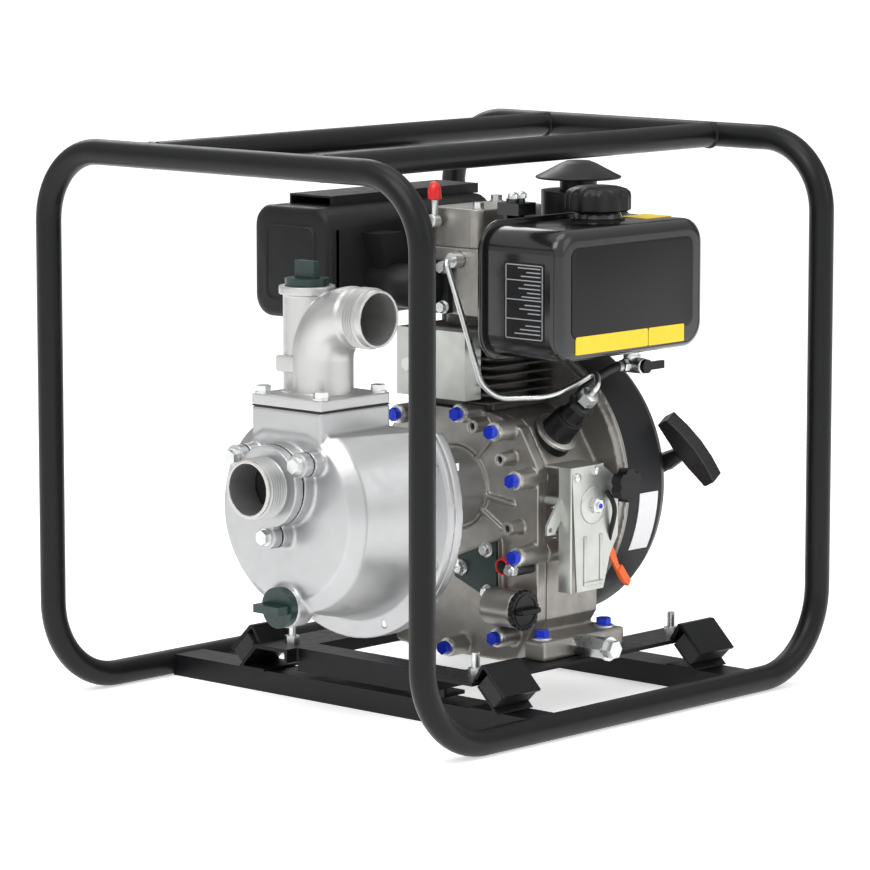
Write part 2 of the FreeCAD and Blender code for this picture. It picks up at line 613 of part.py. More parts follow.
case_body = fuse(*(
    [slab("YZ", case_outline(0), "parting_x", "block_end_x-parting_x")]
    + [rod("X", AXIS, ("bell_x", "fan_x-4"), "bell_dia")]
    + [rod("X", AXIS, ("fan_x-4", "fan_x"), "fan_dia")]
    + [rod("X", p, ("parting_x", "parting_x+26"), "boss_dia") for p in cover_points]
    + [block(("foot_x1-14", "foot_x2+14"), between(side, 90, "foot_offset+15"), ("rail_top", foot_top))
       for side in SIDES]))
rear_x = "(block_end_x-rear_wall)"
node("crankcase", cut(
    case_body, slab("YZ", case_outline("case_wall"), "parting_x-1", rear_x + "-parting_x+1"),
    block(("foot_x1-20", "parting_x"), ("case_near_y-1", "case_far_y+1"), ("case_low_z-1", "deck_z+1")),
    rod("X", AXIS, (rear_x + "-1", "block_end_x-2"), "journal_dia+37"),
    rod("X", AXIS, (rear_x, "fan_x+1"), "journal_dia+2"),
    rod("X", AXIS, ("block_end_x-4", "fan_x+1"), "flywheel_dia-60"),
    rod("Z", ("cylinder_x", "unit_y"), ("deck_z-case_wall-1", "deck_z+1"), "bore_dia"),
    *([rod("X", p, ("parting_x-1", "parting_x+20"), "8+2*screw_gap") for p in cover_points]
      + [rod("Z", p, ("rail_top-1", foot_top + "+1"), "8+2*screw_gap") for p in foot_points])))
node("crankcase_bolts", group(*([screw("-X", ("boss_x",) + p, 12, 7, 8, 54, 2) for p in cover_points]
                                + [screw("Z", p + (foot_top,), 13, 7, 8, 30, 2) for p in foot_points])))
node("access_plate", cut(
    slab("YZ", [from_axis(-60, -48), from_axis(-4, -70), from_axis(-4, -90), from_axis(-60, -112)],
         "cover_x-9", 3),
    *[rod("X", p, ("cover_x-10", "cover_x-5"), "6+2*screw_gap") for p in small_points]))
zinc_fasteners += [screw("-X", ("cover_x-9",) + p, 10, 5, 6, 9) for p in small_points]

cap_end = "filler_end_y-body_gap"
filler_at = ("filler_x", "filler_z")
node("oil_filler_cap", fuse(
    rod("Y", filler_at, (cap_end + "-7", cap_end), "filler_dia+3"),
    rod("Y", filler_at, (cap_end + "-1", cap_end + "+14"), "filler_dia-8-2*plug_gap"),
    block(("filler_x-15", "filler_x+15"), (cap_end + "-15", cap_end + "-6"), ("filler_z-3", "filler_z+3"))))

drain_z_line = "rail_top+foot_height/2+2"
node("oil_drain", fuse(
    hexagon("-Y", (24, outward(-1, "foot_offset+15"), drain_z_line), 19, 40),
    rod("Y", (24, drain_z_line), (outward(-1, "foot_offset+57"), outward(-1, "foot_offset+54")), 24),
    hexagon("-Y", (24, outward(-1, "foot_offset+57"), drain_z_line), 16, 8)))

# ---- Crank train ------------------------------------------------------------------------------------
pin_z = "(crank_z+stroke/2)"
web_front = "(cylinder_x-pin_width/2)"
web_back = "(cylinder_x+pin_width/2)"
cylinder_at = ("cylinder_x", "unit_y")
node("main_bearings", group(
    tube("X", AXIS, ("hub_x-bearing_width", "hub_x"), "bearing_dia", "shaft_dia+2*run_gap"),
    tube("X", AXIS, (rear_x + "+1", "block_end_x-2"), "journal_dia+37", "journal_dia+2*run_gap")))
crankpin = rod("X", ("unit_y", pin_z), (web_front + "+body_gap", web_back + "-body_gap"), "pin_dia")
piston_pin_z = "(crank_z+stroke/2+rod_length)"
node("connecting_rod", group(crankpin, cut(
    fuse(rod("X", ("unit_y", pin_z), ("cylinder_x-9", "cylinder_x+9"), "pin_dia+14"),
         rod("X", ("unit_y", piston_pin_z), ("cylinder_x-9", "cylinder_x+9"), 30),
         block(("cylinder_x-6", "cylinder_x+6"), ("unit_y-9", "unit_y+9"), (pin_z, piston_pin_z))),
    rod("X", ("unit_y", pin_z), ("cylinder_x-10", "cylinder_x+10"), "pin_dia"),
    rod("X", ("unit_y", piston_pin_z), ("cylinder_x-10", "cylinder_x+10"), 18))))
node("piston", group(rod("X", ("unit_y", piston_pin_z), ("cylinder_x-30", "cylinder_x+30"), 18), cut(
    rod("Z", cylinder_at, (piston_pin_z + "-20", piston_pin_z + "-20+piston_height"), "bore_dia-0.1"),
    rod("Z", cylinder_at, (piston_pin_z + "-21", piston_pin_z + "-20+piston_height-8"), "bore_dia-14"),
    rod("X", ("unit_y", piston_pin_z), ("cylinder_x-40", "cylinder_x+40"), 18))))


def gear(teeth, centre_y, centre_z, bore, phase):
    """A spur gear with straight-flanked teeth, thinned for backlash."""
    pitch = size.gear_module * teeth / 2
    root = pitch - 1.25 * size.gear_module
    tip = pitch + 0.9 * size.gear_module
    outline = []
    for n in range(teeth):
        middle = phase + 2 * math.pi * n / teeth
        for radius, share in ((root, -0.36), (tip, -0.13), (tip, 0.13), (root, 0.36)):
            play = math.copysign(size.gear_backlash / 2 / pitch, share)
            angle = middle + share * 2 * math.pi / teeth - play
            outline.append(Vec(0, radius * math.cos(angle), radius * math.sin(angle)))
    face = Part.Face(Part.makePolygon(outline + outline[:1]))
    blank = face.extrude(Vec(size.gear_width, 0, 0))
    hole = Part.makeCylinder(bore / 2, size.gear_width + 2, Vec(-1, 0, 0), Vec(1, 0, 0))
    shape = blank.cut(hole)
    shape.translate(Vec(size.cover_x + 5, centre_y, centre_z))
    return solid(shape, "gear")


centre_gap = size.gear_module * size.gear_teeth * 1.5
cam_y = size.unit_y - math.sqrt(centre_gap ** 2 - size.cam_rise ** 2)
cam_z = size.crank_z + size.cam_rise
to_cam = math.atan2(cam_z - size.crank_z, cam_y - size.unit_y)
cam_at = ("unit_y-sqrt((gear_module*gear_teeth*1.5)^2-cam_rise^2)", "crank_z+cam_rise")
crank_teeth = int(size.gear_teeth)
node("crankshaft", group(
    gear(crank_teeth, size.unit_y, size.crank_z, size.shaft_dia, to_cam),
    fuse(rod("X", AXIS, ("impeller_x+6", web_front), "shaft_dia"),
         rod("X", AXIS, (web_front + "-web_thick", web_front), "web_dia")),
    fuse(rod("X", AXIS, (web_back, web_back + "+web_thick"), "web_dia"),
         rod("X", AXIS, (web_back, "fan_x"), "journal_dia"),
         rod("X", AXIS, ("fan_x", "flywheel_x+30"), "shaft_dia"))))
node("camshaft", group(
    gear(2 * crank_teeth, cam_y, cam_z, size.cam_dia, to_cam + math.pi + math.pi / (2 * crank_teeth)),
    fuse(rod("X", cam_at, ("cover_x+5", rear_x + "-body_gap"), "cam_dia"),
         rod("X", (cam_at[0] + "-2", cam_at[1]), (web_front + "+3", web_front + "+9"), "cam_dia+6"),
         rod("X", (cam_at[0] + "+2", cam_at[1]), (web_back + "-9", web_back + "-3"), "cam_dia+6"))))

# ---- Cylinder, head and valve cover -----------------------------------------------------------------
fin_x = ("cylinder_x-fin_length/2", "cylinder_x+fin_length/2")
fin_y = ("unit_y-fin_width/2", "unit_y+fin_width/2")
fins = [block(fin_x, fin_y, ("deck_z+%d" % up, "deck_z+%d+fin_thick" % up)) for up in range(8, 88, 9)]
node("cylinder", cut(
    fuse(rod("Z", cylinder_at, ("deck_z", "head_z"), "bore_dia+2*liner_wall"),
         block(("cylinder_x-40", "cylinder_x+40"), ("unit_y-44", "unit_y+44"), ("deck_z", "deck_z+7")),
         *fins),
    rod("Z", cylinder_at, ("deck_z-1", "head_z+1"), "bore_dia"),
    rod("X", AXIS, ("bell_x-body_gap", "cylinder_x+fin_length"), "fan_dia+2*body_gap"),
    rod("X", cover_points[0], ("cylinder_x-fin_length", "parting_x+27"), "boss_dia+2*body_gap")))
exhaust_y = "(unit_y+26)"
exhaust_at = (exhaust_y, "exhaust_z")
head_x1 = "(cylinder_x-rocker_length/2)"
head_x = (head_x1, "cylinder_x+rocker_length/2")
INJECTOR = ("unit_y-11", "head_top-11")
node("cylinder_head", cut(
    fuse(block(head_x, ("unit_y-rocker_width/2", "unit_y+rocker_width/2"), ("head_z", "head_top")),
         *[block((head_x1, fin_x[1]), fin_y, ("head_z+%d" % up, "head_z+%d+fin_thick" % up))
           for up in (4, 13, 22)]),
    rod("X", exhaust_at, (head_x1 + "-3", head_x1 + "+40"), "exhaust_bore"),
    rod("X", INJECTOR, (head_x1 + "-1", head_x1 + "+24"), "injector_dia")))
rocker_points = [("cylinder_x+(%d)*(rocker_length/2-16)" % i, "unit_y+(%d)*(rocker_width/2-14)" % i)
                 for i in (-1, 1)]
rocker = rounded(block((head_x1 + "+4", "cylinder_x+rocker_length/2-4"),
                       ("unit_y-rocker_width/2+3", "unit_y+rocker_width/2-3"), ("head_top", "rocker_top")),
                 10, runs_along("Z"))
node("rocker_cover", cut(
    rocker, block((head_x1 + "+8", "cylinder_x+rocker_length/2-8"),
                  ("unit_y-rocker_width/2+7", "unit_y+rocker_width/2-7"), ("head_top-1", "rocker_top-5")),
    *[rod("Z", p, ("rocker_top-6", "rocker_top+1"), "6+2*screw_gap") for p in rocker_points]))
zinc_fasteners += [screw("Z", p + ("rocker_top",), 10, 5, 6, 4) for p in rocker_points]

shroud_x = "(cylinder_x-fin_length/2-24)"
SHROUD_BOLT = ("unit_y+30", "deck_z+46")
node("cylinder_shroud", cut(
    block((shroud_x, "cylinder_x-fin_length/2-body_gap"),
          ("unit_y-42", "unit_y+50"), ("deck_z+14", "deck_z+82")),
    block((shroud_x + "+2", "cylinder_x-fin_length/2+1"),
          ("unit_y-40", "unit_y+48"), ("deck_z+16", "deck_z+80")),
    rod("X", SHROUD_BOLT, (shroud_x + "-1", shroud_x + "+3"), "6+2*screw_gap")))
zinc_fasteners += [screw("-X", (shroud_x,) + SHROUD_BOLT, 13, 6, 6, 6)]

lever_at = (head_x1, "unit_y+18", "rocker_top-13")
node("decompression_lever", fuse(
    rod("X", lever_at[1:], (head_x1 + "-9", head_x1 + "+4-body_gap"), 14),
    block((head_x1 + "-8", head_x1 + "-3"), ("unit_y+14", "unit_y+22"), ("rocker_top-13", "rocker_top+14")),
    block((head_x1 + "-11", head_x1 + "-1"), ("unit_y+9", "unit_y+25"), ("rocker_top+8", "rocker_top+28"))))

# ---- Exhaust ----------------------------------------------------------------------------------------
exhaust_x = "(%s-28)" % head_x1


def exhaust_route(overrun):
    """Out of the head's front, round and back into the silencer's near face."""
    x1, x2 = number_of(head_x1) + overrun, number_of(exhaust_x)
    y, z = number_of(exhaust_y), size.exhaust_z
    return [(x1, y, z), (x2, y, z), (x2, size.muffler_y1 + overrun, z)]


exhaust_studs = [(exhaust_y + "-23", "exhaust_z-20"), (exhaust_y + "-23", "exhaust_z+20")]
node("exhaust_elbow", cut(
    fuse(bent_tube(exhaust_route(0), [size.exhaust_dia / 2 + 3], size.exhaust_dia),
         block((head_x1 + "-7", head_x1), (exhaust_y + "-28", exhaust_y + "+10"),
               ("exhaust_z-26", "exhaust_z+26"))),
    bent_tube(exhaust_route(1), [size.exhaust_dia / 2 + 3], size.exhaust_bore),
    *[rod("X", p, (head_x1 + "-8", head_x1 + "+1"), "6+2*screw_gap") for p in exhaust_studs]))
zinc_fasteners += [screw("-X", (head_x1 + "-7",) + p, 10, 6, 6, 6.9) for p in exhaust_studs]


def rounded_box(inset, radius, name):
    """The silencer's body, drawn in by `inset`."""
    shape = block(("muffler_x1+%s" % inset, "muffler_x2-%s" % inset),
                  ("muffler_y1+%s" % inset, "muffler_y2-%s" % inset),
                  ("muffler_z1+%s" % inset, "muffler_z2-%s" % inset), name)
    return rounded(shape, radius, runs_along("X"))


node("muffler", cut(
    rounded_box(0, size.muffler_round, "silencer"),
    rounded_box("muffler_wall", size.muffler_round - size.muffler_wall, "silencer_inside"),
    rod("Y", (exhaust_x, "exhaust_z"), ("muffler_y1-1", "muffler_y1+4"), "exhaust_bore"),
    rod("Y", ("muffler_x1+64", "muffler_z2-48"), ("muffler_y1-1", "muffler_y1+4"), 20)))
muffler_guard = cut(
    block(("muffler_x1+30", "muffler_x2+2"), ("muffler_y1+24", "muffler_y2-22"),
          ("muffler_z2", "muffler_z2+10")),
    block(("muffler_x1+29", "muffler_x2"), ("muffler_y1+26", "muffler_y2-24"),
          ("muffler_z2-1", "muffler_z2+8")))
exhaust_deflector = cut(
    slab("XZ", [("muffler_x1+48", "muffler_z2-26"), ("muffler_x1+84", "muffler_z2-26"),
                ("muffler_x1+100", "muffler_z2-72"), ("muffler_x1+64", "muffler_z2-72")], "muffler_y1", 24),
    slab("XZ", [("muffler_x1+50.4", "muffler_z2-28"), ("muffler_x1+82", "muffler_z2-28"),
                ("muffler_x1+98.4", "muffler_z2-75"), ("muffler_x1+66.2", "muffler_z2-75")],
         "muffler_y1+1", 23))
node("muffler_shields", group(muffler_guard, exhaust_deflector))

# ---- Flywheel, fan housing and starter --------------------------------------------------------------
fan_blades = []
for turn in range(0, 360, 30):
    blade = block((0, 12), ("flywheel_dia/2-26", "flywheel_dia/2-4"), (0, 3), name="fan_blade")
    angle = math.radians(turn)
    place(blade, ("flywheel_x+28", "unit_y+(flywheel_dia/2-26)*%.6f" % math.cos(angle),
                  "crank_z+(flywheel_dia/2-26)*%.6f" % math.sin(angle)),
                  FreeCAD.Rotation(Vec(1, 0, 0), turn))
    fan_blades.append(blade)
node("flywheel", cut(
    fuse(lathe("X", pump_axis, [
        ("flywheel_x", "shaft_dia"), ("flywheel_x", "flywheel_dia"), ("flywheel_x+28", "flywheel_dia"),
        ("flywheel_x+28", "flywheel_dia-60"), ("flywheel_x+12", "flywheel_dia-70"),
        ("flywheel_x+12", "shaft_dia+44"), ("flywheel_x+28", "shaft_dia+36"),
        ("flywheel_x+28", "shaft_dia")]), *fan_blades),
    *[rod("X", from_axis("70*%.5f" % math.cos(a), "70*%.5f" % math.sin(a)),
          ("flywheel_x-1", "flywheel_x+13"), 16) for a in (0, math.pi / 2, math.pi, 1.5 * math.pi)]))
node("fan_housing", lathe("X", pump_axis, [
    ("fan_x", "fan_dia-2*fan_wall"), ("fan_x", "fan_dia"), ("fan_end_x-14", "fan_dia"),
    ("fan_end_x-4", "fan_dia-10"), ("fan_end_x", "fan_dia-28"), ("fan_end_x", "recoil_dia-14"),
    ("fan_end_x-fan_wall", "recoil_dia-14"), ("fan_end_x-fan_wall", "fan_dia-34"),
    ("fan_end_x-6", "fan_dia-18"), ("fan_end_x-16", "fan_dia-2*fan_wall")]))

pull = Vec(0, -math.cos(math.radians(size.pull_angle)), math.sin(math.radians(size.pull_angle)))
pull_turn = FreeCAD.Rotation(Vec(0, 0, 1), pull)


def on_pull_line(distance):
    """A point `distance` inward from the grip along the rope."""
    return ("grip_x", "grip_y+(%s)*cos(pull_angle*1 deg)" % distance,
            "grip_z-(%s)*sin(pull_angle*1 deg)" % distance)


def pull_rod(inner, outer, dia):
    thing = doc.addObject("Part::Cylinder", "pull_rod")
    bind(thing, Radius="(%s)/2" % dia, Height="(%s)-(%s)" % (inner, outer))
    place(thing, on_pull_line(inner), pull_turn)
    return thing


post_x = ("recoil_end_x-4-reel_width-3", "recoil_end_x-3")
node("recoil_cover", cut(
    fuse(lathe("X", pump_axis, [
        ("fan_end_x", "recoil_dia-8"), ("fan_end_x", "recoil_dia"), ("recoil_end_x-9", "recoil_dia-4"),
        ("recoil_end_x", "recoil_dia-38"), ("recoil_end_x", 0), ("recoil_end_x-3", 0),
        ("recoil_end_x-3", "recoil_dia-42"), ("recoil_end_x-11", "recoil_dia-10")]),
         pull_rod(96, 34, 18), rod("X", AXIS, post_x, "reel_post_dia")),
    pull_rod(120, 33, 9)))
reel_x = ("recoil_end_x-3-reel_width-body_gap", "recoil_end_x-3-body_gap")
node("recoil_reel", cut(
    fuse(rod("X", AXIS, (reel_x[0], reel_x[0] + "+3"), "reel_dia"),
         rod("X", AXIS, reel_x, "reel_rope_dia"),
         rod("X", AXIS, (reel_x[1] + "-3", reel_x[1]), "reel_dia")),
    rod("X", AXIS, (reel_x[0] + "-1", reel_x[1] + "+1"), "reel_post_dia+2*run_gap")))

along_grip = Vec(0.45, -0.46, -0.76)
along_grip = (along_grip - pull * along_grip.dot(pull)).normalize()


def grip_shape():
    """The T-shaped handle: a crowned cross-grip on a tapered stem."""
    centre = Vec(size.grip_x, size.grip_y, size.grip_z)
    length = size.grip_length
    across = pull.cross(along_grip)
    profile = [(-length / 2, -6), (-length / 2, 8), (-length / 4, 12), (0, 13.5), (length / 4, 12),
               (length / 2, 8), (length / 2, -6), (12, -9), (-12, -9)]
    corners = [centre + along_grip * u + pull * v - across * 9 for u, v in profile]
    grip = Part.Face(Part.makePolygon(corners + corners[:1])).extrude(across * 18)
    stem = Part.makeCone(10, 7, 24, centre - pull * 32, pull)
    return grip.fuse(stem).removeSplitter()


node("recoil_handle", solid(grip_shape(), "grip"))
node("starter_rope", pull_rod(112, 32, "rope_dia"))

# ---- Fuel tank --------------------------------------------------------------------------------------


def tank_box(inset, radius):
    shape = block(("tank_x1+%s" % inset, "tank_x2-%s" % inset), ("tank_y1+%s" % inset, "tank_y2-%s" % inset),
                  ("tank_z1+%s" % inset, "tank_z2-%s" % inset))
    return rounded(shape, radius, lambda edge: True)


seam = rounded(block(("tank_x1-seam_lip", "tank_x2+seam_lip"), ("seam_y-1.5", "seam_y+1.5"),
                     ("tank_z1-seam_lip", "tank_z2+seam_lip")),
               size.tank_round + size.seam_lip, runs_along("Y"))
cap_at = ("cap_x", "cap_y")
node("fuel_tank", cut(
    fuse(tank_box(0, size.tank_round), seam,
         rod("Z", cap_at, ("tank_z2-4", "tank_neck_top"), "tank_neck+6")),
    tank_box("tank_wall", size.tank_round - size.tank_wall),
    rod("Z", cap_at, ("tank_z2-8", "tank_neck_top+1"), "tank_neck")))
cap_low = "(tank_neck_top+body_gap)"
scallops = [rod("Z", ("cap_x+(cap_dia/2+3)*%.5f" % math.cos(math.radians(a)),
                      "cap_y+(cap_dia/2+3)*%.5f" % math.sin(math.radians(a))),
                (cap_low + "-1", cap_low + "+cap_height-5"), 12) for a in range(0, 360, 36)]
node("fuel_cap", cut(
    fuse(rod("Z", cap_at, (cap_low, cap_low + "+cap_height-4"), "cap_dia"),
         taper("Z", cap_at, (cap_low + "+cap_height-4", cap_low + "+cap_height"), "cap_dia", "cap_dia-12"),
         rod("Z", cap_at, (cap_low + "-8", cap_low + "+1"), "tank_neck-2*body_gap")), *scallops))
HEAD_SIDE = "unit_y-rocker_width/2"
TANK_SHELF = [("tank_y2", "head_top-26"), (HEAD_SIDE, "head_top-26"), (HEAD_SIDE, "head_top-22"),
              ("tank_y2+4", "head_top-22"), ("tank_y2+4", "tank_z2-6"), ("tank_y2", "tank_z2-6")]
TANK_CLAMP = [("tank_y2+5", "tank_z2-20"), ("tank_y2+9", "tank_z2-20"), ("tank_y2+9", "tank_z2+6"),
              ("tank_y2+18", "tank_z2+6"), ("tank_y2+18", "tank_z2+18"), ("seam_y+2", "tank_z2+18"),
              ("seam_y+2", "tank_z2+6"), ("tank_y2+5", "tank_z2+6")]
clamp_domes = [rod("Z", (x, "seam_y+17"), ("tank_z2+17", "tank_z2+22"), 11) for x in (7, 19)]
node("tank_bracket", group(
    slab("YZ", TANK_SHELF, "tank_x1+40", "tank_x2-tank_x1-84"),
    fuse(slab("YZ", TANK_CLAMP, 0, 26),
         block((2, 24), ("tank_y2+3", "tank_y2+6"), ("tank_z2-18", "tank_z2-10")),
         *clamp_domes)))
cock_at = ("tank_x1+164", "tank_y1+44")
cock_z = "tank_z1-18"
node("fuel_cock", fuse(rod("Z", cock_at, (cock_z, "tank_z1"), 12),
                       rod("Y", (cock_at[0], cock_z), (cock_at[1] + "-14", cock_at[1] + "+8"), 16)))
cock_face = cock_at[1] + "-14-body_gap"
node("fuel_cock_lever", fuse(
    rod("Y", (cock_at[0], cock_z), (cock_face + "-6", cock_face), 14),
    block((cock_at[0], cock_at[0] + "+26"), (cock_face + "-6", cock_face + "-2"),
          (cock_z + "-4", cock_z + "+4"))))

cleaner_at = ("cleaner_x", "cleaner_y")
node("air_cleaner", fuse(
    rod("Z", cleaner_at, ("cleaner_top-70", "cleaner_top"), "cleaner_dia"),
    rod("Z", cleaner_at, ("cleaner_top", "rain_cap_z+4"), "cleaner_dia/2"),
    block(("cylinder_x+rocker_length/2", "cleaner_x-cleaner_dia/2+8"), ("cleaner_y-16", "cleaner_y+16"),
          ("cleaner_top-60", "cleaner_top-30"))))
node("rain_cap", taper("Z", cleaner_at, ("rain_cap_z+4", "rain_cap_top"), "rain_cap_dia", "rain_cap_dia/2"))

# ---- Injection and controls -------------------------------------------------------------------------
pump_foot = Vec(34, -118, 262)
pump_way = Vec(0, -0.73, 0.68).normalize()


def slanted(start, end, dia_1, dia_2):
    """One stage of the injection pump, which leans out to the near side."""
    centre = pump_foot + pump_way * start
    if dia_1 == dia_2:
        return Part.makeCylinder(dia_1 / 2, end - start, centre, pump_way)
    return Part.makeCone(dia_1 / 2, dia_2 / 2, end - start, centre, pump_way)


pump_stages = [(0, 14, 44, 44), (14, 38, 34, 30), (38, 58, 24, 22), (58, 72, 16, 16)]
pump_shape = slanted(*pump_stages[0])
for stage in pump_stages[1:]:
    pump_shape = pump_shape.fuse(slanted(*stage))
node("injection_pump", cut(solid(pump_shape.removeSplitter(), "pump_element"),
                           slab("YZ", case_outline(0), "parting_x", "block_end_x-parting_x"),
                           rod("X", cover_points[1], ("parting_x", "parting_x+27"), "boss_dia")))


def bend_radii(points):
    """Each bend's largest tangent radius that its two runs leave room for."""
    radii = []
    for before, here, after in zip(points, points[1:], points[2:]):
        back, ahead = Vec(*before) - Vec(*here), Vec(*after) - Vec(*here)
        turn = math.pi - back.getAngle(ahead)
        radii.append(0.45 * min(back.Length, ahead.Length) / math.tan(turn / 2))
    return radii


def pipe(points, dia):
    radii = bend_radii(points)
    print("bend radii", [round(r, 1) for r in radii])
    return bent_tube(points, radii, dia)


nut_top = pump_foot + pump_way * pump_stages[-1][1]
injector_end = number_of(head_x1) - 12
node("injector", rod("X", INJECTOR, (injector_end, head_x1 + "+24"), "injector_dia"))
node("injection_pipe", pipe(
    [(injector_end, -42, 441), (injector_end - 13, -46, 442), (-43, -74, 380), (-40, -93, 322),
     (-27, -106, 308), (2, -147, 311), (38, -153, 322), (49, -167, 334),
     tuple(nut_top + pump_way * 14), tuple(nut_top)], size.fuel_pipe_dia))
node("fuel_hose", pipe(
    [(102, -158, 334), (86, -157, 333), (66, -141, 318), (58, -127, 296), (46, -124, 278)], 9))

PANEL_OUTLINE = [(0, 0), (44, 0), (70, -18), (70, -74), (58, -92), (48, -125), (8, -125)]
panel_points = [("panel_x1+(%s)" % x, "panel_z2+(%s)" % z) for x, z in PANEL_OUTLINE]
pivot_at = ("pivot_x", "pivot_z")
knob_at = ("knob_x", "knob_z")
node("regulator_panel", fuse(
    slab("XZ", panel_points, "panel_y", "panel_thick"),
    block(("panel_x1", "panel_x1+50"), ("panel_y", "case_near_y"), ("panel_z2-2", "panel_z2")),
    rod("Y", pivot_at, ("panel_y-8", "case_near_y"), 8),
    hexagon("-Y", ("pivot_x", "panel_y-panel_thick", "pivot_z"), 14, 5),
    rod("Y", knob_at, ("knob_y-8", "panel_y"), 6)))
LEVER_OUTLINE = [(-8, 6), (0, 9), (8, 5), (40, -52), (46, -66), (64, -84), (50, -82), (38, -64), (-7, -5)]
node("speed_lever", cut(
    slab("XZ", [("pivot_x+(%s)" % x, "pivot_z+(%s)" % z) for x, z in LEVER_OUTLINE],
         "panel_y+6", "lever_thick"),
    rod("Y", pivot_at, ("panel_y-1", "panel_y+8"), "8+2*run_gap")))
knob_lobes = [rod("Y", ("knob_x+(knob_dia/2+2)*%.5f" % math.cos(math.radians(a)),
                        "knob_z+(knob_dia/2+2)*%.5f" % math.sin(math.radians(a))),
                  ("knob_y-13", "knob_y+1"), 9)
              for a in range(0, 360, 60)]
node("control_knob", cut(rod("Y", knob_at, ("knob_y-12", "knob_y"), "knob_dia"), *(
    knob_lobes + [rod("Y", knob_at, ("knob_y-9", "knob_y+1"), "6+2*run_gap")])))
STOP_OUTLINE = [(-4, 5), (5, 4), (6, -4), (-14, -31), (-25, -31), (-25, -22)]
stop_at = ("panel_x1+3", "panel_z2-35")
node("stop_lever", fuse(
    cut(slab("XZ", [(stop_at[0] + "+(%s)" % x, stop_at[1] + "+(%s)" % z) for x, z in STOP_OUTLINE],
             "panel_y+14", "lever_thick"),
        rod("Y", (stop_at[0] + "-20", stop_at[1] + "-26"), ("panel_y", "panel_y+16"), 5)),
    rod("Y", stop_at, ("panel_y+8", "case_near_y-body_gap"), 9)))
node("zinc_fasteners", group(*zinc_fasteners))


# ---- Check and write --------------------------------------------------------------------------------
doc.recompute()
for thing in doc.Objects:
    if "Invalid" in thing.State or "Error" in thing.State:
        raise SystemExit("%s (%s) failed" % (thing.Name, thing.Label))
os.makedirs("parts", exist_ok=True)
for piece in NODES:
    if piece.Shape.isNull() or not piece.Shape.isValid() or not piece.Shape.Solids:
        raise SystemExit(piece.Label + " is not a valid solid")
    piece.Shape.exportStep("parts/%s.step" % piece.Label)
    box = piece.Shape.BoundBox
    print("%-26s %2d solids %10.0f mm3  x %.0f..%.0f y %.0f..%.0f z %.0f..%.0f" % (
        piece.Label, len(piece.Shape.Solids), piece.Shape.Volume, box.XMin, box.XMax, box.YMin, box.YMax,
        box.ZMin, box.ZMax))
print(len(NODES), "nodes")
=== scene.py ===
"""Looks of a two-inch diesel pump set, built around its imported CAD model.

Helpers take millimetres in the model's frame: +X from the suction port to the recoil starter, +Z up,
-Y on the tank's side.  Meshes are made in metres.
"""
import json
import math

import bmesh
import bpy
import numpy as np
from mathutils import Matrix, Vector

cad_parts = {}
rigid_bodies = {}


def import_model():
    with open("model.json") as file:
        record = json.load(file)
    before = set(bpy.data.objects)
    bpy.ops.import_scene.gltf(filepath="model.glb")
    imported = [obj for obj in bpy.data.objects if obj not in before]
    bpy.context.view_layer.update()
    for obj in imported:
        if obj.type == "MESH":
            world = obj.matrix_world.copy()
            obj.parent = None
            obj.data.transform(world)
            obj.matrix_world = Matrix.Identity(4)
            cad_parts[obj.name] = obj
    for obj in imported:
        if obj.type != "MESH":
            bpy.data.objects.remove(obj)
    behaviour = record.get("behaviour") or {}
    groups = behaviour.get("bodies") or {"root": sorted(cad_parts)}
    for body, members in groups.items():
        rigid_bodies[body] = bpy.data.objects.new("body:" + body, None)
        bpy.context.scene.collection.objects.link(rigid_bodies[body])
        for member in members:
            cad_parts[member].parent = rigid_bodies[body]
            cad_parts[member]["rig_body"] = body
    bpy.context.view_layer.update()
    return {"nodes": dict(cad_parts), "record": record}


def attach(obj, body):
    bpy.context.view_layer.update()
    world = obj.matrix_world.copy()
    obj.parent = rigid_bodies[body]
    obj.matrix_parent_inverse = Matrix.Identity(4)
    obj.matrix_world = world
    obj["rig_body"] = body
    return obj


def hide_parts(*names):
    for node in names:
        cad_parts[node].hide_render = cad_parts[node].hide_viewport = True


MM = 0.001
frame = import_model()
NODES = frame["nodes"]
BODY_OF = {name: node["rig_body"] for name, node in NODES.items()}
SLOT_OF = {row["node"]: row["material_slot"] for row in frame["record"]["subparts"]}
X, Y, Z = Vector((1, 0, 0)), Vector((0, 1, 0)), Vector((0, 0, 1))


# ---- Camera, floor and lights -----------------------------------------------------------------------
AZIMUTH, ELEVATION = math.radians(-47.338), math.radians(8.075)
CAMERA_TARGET = Vector((0, 0.0057, 0.2585))
CAMERA_DISTANCE = 4.4876
CAMERA_LENS = 184.0
BRIGHT_SIDE = (-0.50, -0.35, 0.80)


def heading(azimuth, elevation):
    """The direction from the object towards a viewer."""
    return Vector((math.sin(azimuth) * math.cos(elevation), -math.cos(azimuth) * math.cos(elevation),
                   math.sin(elevation)))


def link(obj):
    bpy.context.scene.collection.objects.link(obj)
    return obj


def aim(obj, place, target):
    obj.location = place
    obj.rotation_euler = (Vector(target) - Vector(place)).to_track_quat("-Z", "Y").to_euler()


def make_camera():
    data = bpy.data.cameras.new("camera")
    data.lens = CAMERA_LENS
    data.clip_end = 50
    camera = link(bpy.data.objects.new("camera", data))
    aim(camera, CAMERA_TARGET + heading(AZIMUTH, ELEVATION) * CAMERA_DISTANCE, CAMERA_TARGET)
    bpy.context.scene.camera = camera


def soft_light(name, azimuth, elevation, distance, size, power, target=(0, 0, 0.25)):
    data = bpy.data.lights.new(name, "AREA")
    data.shape = "RECTANGLE"
    data.size, data.size_y = size
    data.energy = power
    light = link(bpy.data.objects.new(name, data))
    aim(light, Vector(target) + heading(math.radians(azimuth), math.radians(elevation)) * distance, target)


